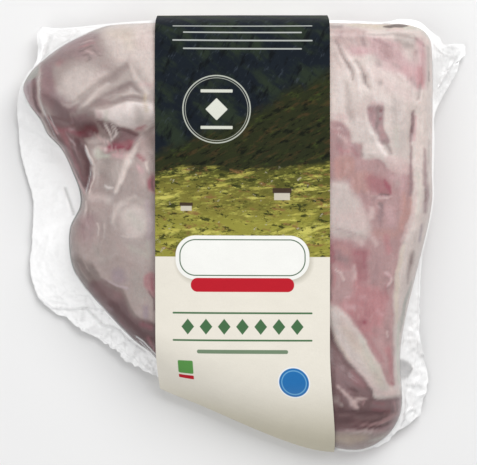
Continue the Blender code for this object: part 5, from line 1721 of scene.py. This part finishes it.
def shade_lower_fold(card):
    """Painted shade towards the slanted lower fold, where the card turns away: the cream turns olive."""
    leaning = reckon(card.tree, "MULTIPLY_ADD", card.across, 0.45, card.along)
    near_fold = ramp(card.tree, card.along, -96.0, -146.0)
    before_fold = ramp(card.tree, leaning, -200.0, -165.0)
    lay(card, INK["fold shade"], reckon(card.tree, "MULTIPLY", near_fold, before_fold), 0.5)


print("the panel begins", PANEL_TOP, "mm along the card and the plain back at", TOP_FOLD)

# %% [markdown]
# The ornaments are all one shape, a plate with round corners: a thin one is a rule, one as round as it is
# wide is a disc, and one less a smaller one is a ring. So one function draws them all.

# %% Plates, rings and bars
def plate_mask(card, middle, half, corner, inset, where, softness):
    """The plate group's mask, for a plate of these half sizes with round corners, moved in by the inset."""
    values = {
        "Across": where[0], "Along": where[1], "Middle Across": middle[0], "Middle Along": middle[1],
        "Half Width": max(half[0] - corner, 0.0), "Half Height": max(half[1] - corner, 0.0),
        "Corner": corner - inset, "Softness": softness,
    }
    return add_node(card.tree, "ShaderNodeGroup", values, node_tree=plate).outputs["Mask"]


def ornament(card, ink, middle, half, corner, strength=1.0, ring=0.0, where=None, softness=0.35):
    """Lays one rounded plate on the print, or only its outline where ring is its width."""
    where = where or (card.across, card.along)
    mask = plate_mask(card, middle, half, corner, 0.0, where, softness)
    if ring:
        hole = plate_mask(card, middle, half, corner, ring, where, softness)
        mask = reckon(card.tree, "SUBTRACT", mask, hole, clamp=True)
    lay(card, INK[ink], mask, strength)


def disc(card, ink, middle, radius, strength=1.0, ring=0.0):
    """A round plate, or a ring."""
    ornament(card, ink, middle, (radius, radius), radius, strength, ring)


# %% Ornaments on the landscape
RULES, RULES_TOP, RULE_STEP = 4, 138.0, 5.4
RING_MIDDLE, BAR_OFF = (-17.0, 82.0), 12.0
HUTS = ((26.0, 25.0, 5.2), (-37.0, 17.0, 3.6))


def turned_lozenge(card, ink, middle, half, corner, strength):
    """A square plate on axes turned by 45 degrees: their sum and difference times the root of a half."""
    root = math.sqrt(0.5)
    rising = reckon(card.tree, "MULTIPLY", reckon(card.tree, "ADD", card.across, card.along), root)
    falling = reckon(card.tree, "MULTIPLY", reckon(card.tree, "SUBTRACT", card.along, card.across), root)
    turned_middle = ((middle[0] + middle[1]) * root, (middle[1] - middle[0]) * root)
    ornament(card, ink, turned_middle, (half, half), corner, strength, 0.0, (rising, falling))


def draw_upper_ornaments(card):
    """Pale rules on the mountain, a double ring with a lozenge between two bars, and two small huts."""
    for number in range(RULES):
        half = (46.0 - 7.0 * (number % 2), 0.45)
        ornament(card, "rule", (0.0, RULES_TOP - RULE_STEP * number), half, 0.4, 0.7)
    disc(card, "ring", RING_MIDDLE, 22.5, 0.75, 0.8)
    disc(card, "ring", RING_MIDDLE, 20.8, 0.6, 0.4)
    turned_lozenge(card, "bar", RING_MIDDLE, 5.2, 0.6, 0.9)
    for side in (-1, 1):
        ornament(card, "bar", (RING_MIDDLE[0], RING_MIDDLE[1] + BAR_OFF * side), (10.5, 1.0), 0.4, 0.85)
    for across, along, width in HUTS:
        ornament(card, "wall", (across, along), (width, 0.5 * width), 0.2, 0.9)
        ornament(card, "roof", (across, along + 0.7 * width), (1.2 * width, 0.32 * width), 0.3, 0.95)


print(RULES, "rules, two rings and", len(HUTS), "huts on the landscape")

# %% Ornaments on the panel
LOZENGE_ROW, LOZENGE_SPACING, LOZENGE_HALF, LOZENGE_REACH, LOZENGE_BLUR = -61.0, 12.0, 4.0, 42.0, 0.4
DISC_MIDDLE = (33.0, -98.0)


def lozenge_row(card):
    """Mask of a row of lozenges: inside, the distance across from the nearest middle plus 0.8 of the
    distance along is small."""
    tree = card.tree
    from_start = reckon(tree, "ADD", card.across, 5.0 * LOZENGE_SPACING)
    beside = reckon(tree, "PINGPONG", from_start, LOZENGE_SPACING / 2)
    above = reckon(tree, "ABSOLUTE", reckon(tree, "SUBTRACT", card.along, LOZENGE_ROW))
    slanted = reckon(tree, "MULTIPLY_ADD", above, 0.8, beside)
    inside = ramp(tree, slanted, LOZENGE_HALF + LOZENGE_BLUR, LOZENGE_HALF)
    across = reckon(tree, "ABSOLUTE", card.across)
    return reckon(tree, "MULTIPLY", inside, ramp(tree, across, LOZENGE_REACH + LOZENGE_BLUR, LOZENGE_REACH))


def draw_lower_ornaments(card):
    """A white plate with a shadow, a line and a red band, a row of lozenges between rules, a blue disc, and
    a green tag with a red bar."""
    ornament(card, "plate shadow", (1.0, -17.0), (44.0, 14.5), 13.0, 0.45, softness=5.0)
    ornament(card, "plate", (0.0, -15.5), (44.0, 14.5), 13.0)
    ornament(card, "plate line", (0.0, -15.5), (41.5, 12.1), 10.6, ring=0.7)
    ornament(card, "red", (0.0, -33.5), (34.0, 4.6), 4.4)
    lay(card, INK["green"], lozenge_row(card))
    for side in (-1, 1):
        ornament(card, "green", (0.0, LOZENGE_ROW + 9.0 * side), (46.0, 0.6), 0.5)
    ornament(card, "green", (0.0, -77.5), (30.0, 1.3), 1.2, 0.85)
    disc(card, "disc rim", DISC_MIDDLE, 10.6)
    disc(card, "disc", DISC_MIDDLE, 9.8)
    disc(card, "disc ring", DISC_MIDDLE, 8.4, 0.8, 0.7)
    ornament(card, "tag", (-38.0, -89.0), (5.0, 5.0), 1.0)
    ornament(card, "red", (-38.0, -97.0), (5.0, 1.6), 0.6)


print("lozenges stand", LOZENGE_SPACING, "mm apart at", LOZENGE_ROW, "mm along the card")

# %% The printed and the raw card
def print_material():
    """The drawn print, shaded by the card's fibres and by slow waves, which also make its bump."""
    material, tree, shader = new_material("printed card", Roughness=0.6, Specular_IOR_Level=0.08)
    card = blank_card(tree)
    for draw in (draw_landscape, draw_panel, draw_upper_ornaments, draw_lower_ornaments, shade_lower_fold):
        draw(card)
    fibre = add_grain(tree, grain, 0.6, 1.0, 0.03)
    wave = add_grain(tree, grain, 16.0, 1.0, 0.02)
    shade = reckon(tree, "MULTIPLY", fibre.outputs["Shade"], wave.outputs["Shade"])
    tree.links.new(shaded(tree, card.colour, shade), shader.inputs["Base Color"])
    height = reckon(tree, "MULTIPLY_ADD", wave.outputs["Height"], 6.0, fibre.outputs["Height"])
    add_bump(tree, shader, height, 0.18, 0.0005)
    return material


def board_material():
    """Unprinted card, seen at the cut edges and inside: off-white with short fibres."""
    material, tree, shader = new_material("raw card", Roughness=0.8)
    fibre = add_grain(tree, grain, 0.7, 3.0, 0.08)
    pulp = shaded(tree, screen(INK["raw card"]), fibre.outputs["Shade"])
    tree.links.new(pulp, shader.inputs["Base Color"])
    add_bump(tree, shader, fibre.outputs["Height"], 0.3, 0.0002)
    return material


printed_card, raw_card = print_material(), board_material()
print(printed_card.name, "has", len(printed_card.node_tree.nodes), "nodes")

# %% The sleeve's mesh
count = SLEEVE_STATIONS * SLEEVE_STEPS
number = np.arange(count).reshape(SLEEVE_STATIONS, SLEEVE_STEPS)
after = np.roll(number, -1, 1)
skin = np.stack([number[:-1], after[:-1], after[1:], number[1:]], -1).reshape(-1, 4)
first_edge = np.stack([after[0], number[0], number[0] + count, after[0] + count], -1)
last_edge = np.stack([number[-1], after[-1], after[-1] + count, number[-1] + count], -1)
card_faces = np.concatenate([skin, skin[:, ::-1] + count, first_edge, last_edge])
card_points = np.concatenate([placed(outer), placed(inner)])
sleeve = make_piece("sleeve_card", card_points, card_faces.tolist(), [printed_card, raw_card])
unprinted = np.arange(len(card_faces)) >= len(skin)
sleeve.data.polygons.foreach_set("material_index", unprinted.astype(np.int32))
sleeve.data.set_sharp_from_angle(angle=math.radians(60.0))
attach(sleeve, "root")
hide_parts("sleeve")
print("sleeve:", len(card_faces), "faces")

# %% [markdown]
# The print needs to know how far round the card each corner of a face lies. So the map is measured, not
# unwrapped: across the card from station to station, and along it by the length of the outer loop.

# %% The print's place on the card
# The distance along the card is counted from the top middle, positive towards +Y.
walked = np.concatenate([np.zeros((SLEEVE_STATIONS, 1)), np.cumsum(sleeve_steps, 1)], 1)
print_along = walked[:, SLEEVE_STEPS // 2, None] - walked
column = np.arange(SLEEVE_STEPS)
corner_station = np.stack([number[:-1] // SLEEVE_STEPS] * 2 + [number[1:] // SLEEVE_STEPS] * 2, -1)
corner_column = np.broadcast_to(np.stack([column, column + 1, column + 1, column], -1), corner_station.shape)
corner_along = 0.5 + print_along[corner_station, corner_column] / PRINT_SPAN
print_uv = np.stack([corner_station / (SLEEVE_STATIONS - 1), corner_along], -1).reshape(-1, 2)
all_uv = np.zeros((len(sleeve.data.loops), 2))
all_uv[: len(print_uv)] = print_uv
uv_map = sleeve.data.uv_layers.new(name="print")
uv_map.data.foreach_set("uv", all_uv.ravel())
outermost = outer[..., 0].argmax(1)
fold_along = print_along[np.arange(SLEEVE_STATIONS), outermost]
print("the top fold lies", fold_along[[0, -1]].round(1), "mm along the print")

# %% [markdown]
# ## Floor, light and camera
# A pale floor, a soft sky all round and one big soft light from the upper right, with a weak one from the
# lower left: the shaded sides of the meat face lower left. The camera looks straight down, as the pack
# lies with its shown side up. Its lens is worked out from how wide the frame is at the top of the meat.

# %% Floor
FLOOR_SIZE, FLOOR_DROP, FLOOR_GREY = 4000.0, 0.4, 0.84

floor_corners = np.array([(-0.5, -0.5, 0.0), (0.5, -0.5, 0.0), (0.5, 0.5, 0.0), (-0.5, 0.5, 0.0)])
floor_points = floor_corners * FLOOR_SIZE - (0.0, 0.0, FLOOR_DROP)
floor_colour = (FLOOR_GREY, FLOOR_GREY, FLOOR_GREY, 1.0)
floor_material = new_material("floor", Base_Color=floor_colour, Roughness=0.8, Specular_IOR_Level=0.2)[0]
floor = make_piece("floor", floor_points, [(0, 1, 2, 3)], [floor_material])
print("floor:", FLOOR_SIZE * MM, "m square")

# %% Light
SKY_STRENGTH, LIT_POINT = 0.40, (0.0, 0.0, 0.03)
# Each lamp: its place and the length of its sides in metres, and its power in watts.
LAMPS = {"key": ((0.55, 1.0, 1.25), 1.3, 22.0), "fill": ((-0.9, -0.6, 1.2), 1.4, 8.5)}

world = bpy.data.worlds.new("studio")
world.use_nodes = True
world.node_tree.nodes["Background"].inputs["Color"].default_value = (1.0, 1.0, 1.0, 1.0)
world.node_tree.nodes["Background"].inputs["Strength"].default_value = SKY_STRENGTH
bpy.context.scene.world = world


def soft_light(name, place, size, power):
    """A square area light turned to face the lit point: tilted by the angle of its way from straight down,
    and turned by the heading of that way."""
    lamp = bpy.data.lights.new(name, "AREA")
    lamp.size, lamp.energy = size, power
    light = bpy.data.objects.new(name, lamp)
    way = np.array(LIT_POINT) - np.array(place)
    light.location = place
    light.rotation_euler = (math.acos(-way[2] / np.linalg.norm(way)), 0.0, math.atan2(-way[0], way[1]))
    bpy.context.scene.collection.objects.link(light)


for name, (place, size, power) in LAMPS.items():
    soft_light(name, place, size, power)
print(len(LAMPS), "lamps and a sky of strength", SKY_STRENGTH)

# %% Camera
CAMERA_PLACE = (-0.002, 0.0012, 1.0)
FRAME_WIDTH_AT_TOP, TOP_LEVEL, SENSOR = 0.3134, 0.046, 36.0

camera_data = bpy.data.cameras.new("camera")
camera_data.sensor_width = SENSOR
camera_data.lens = SENSOR * (CAMERA_PLACE[2] - TOP_LEVEL) / FRAME_WIDTH_AT_TOP
camera = bpy.data.objects.new("camera", camera_data)
camera.location = CAMERA_PLACE
bpy.context.scene.collection.objects.link(camera)
bpy.context.scene.camera = camera
bpy.context.scene.view_settings.view_transform = "Standard"
print("lens", round(camera_data.lens, 1), "mm")
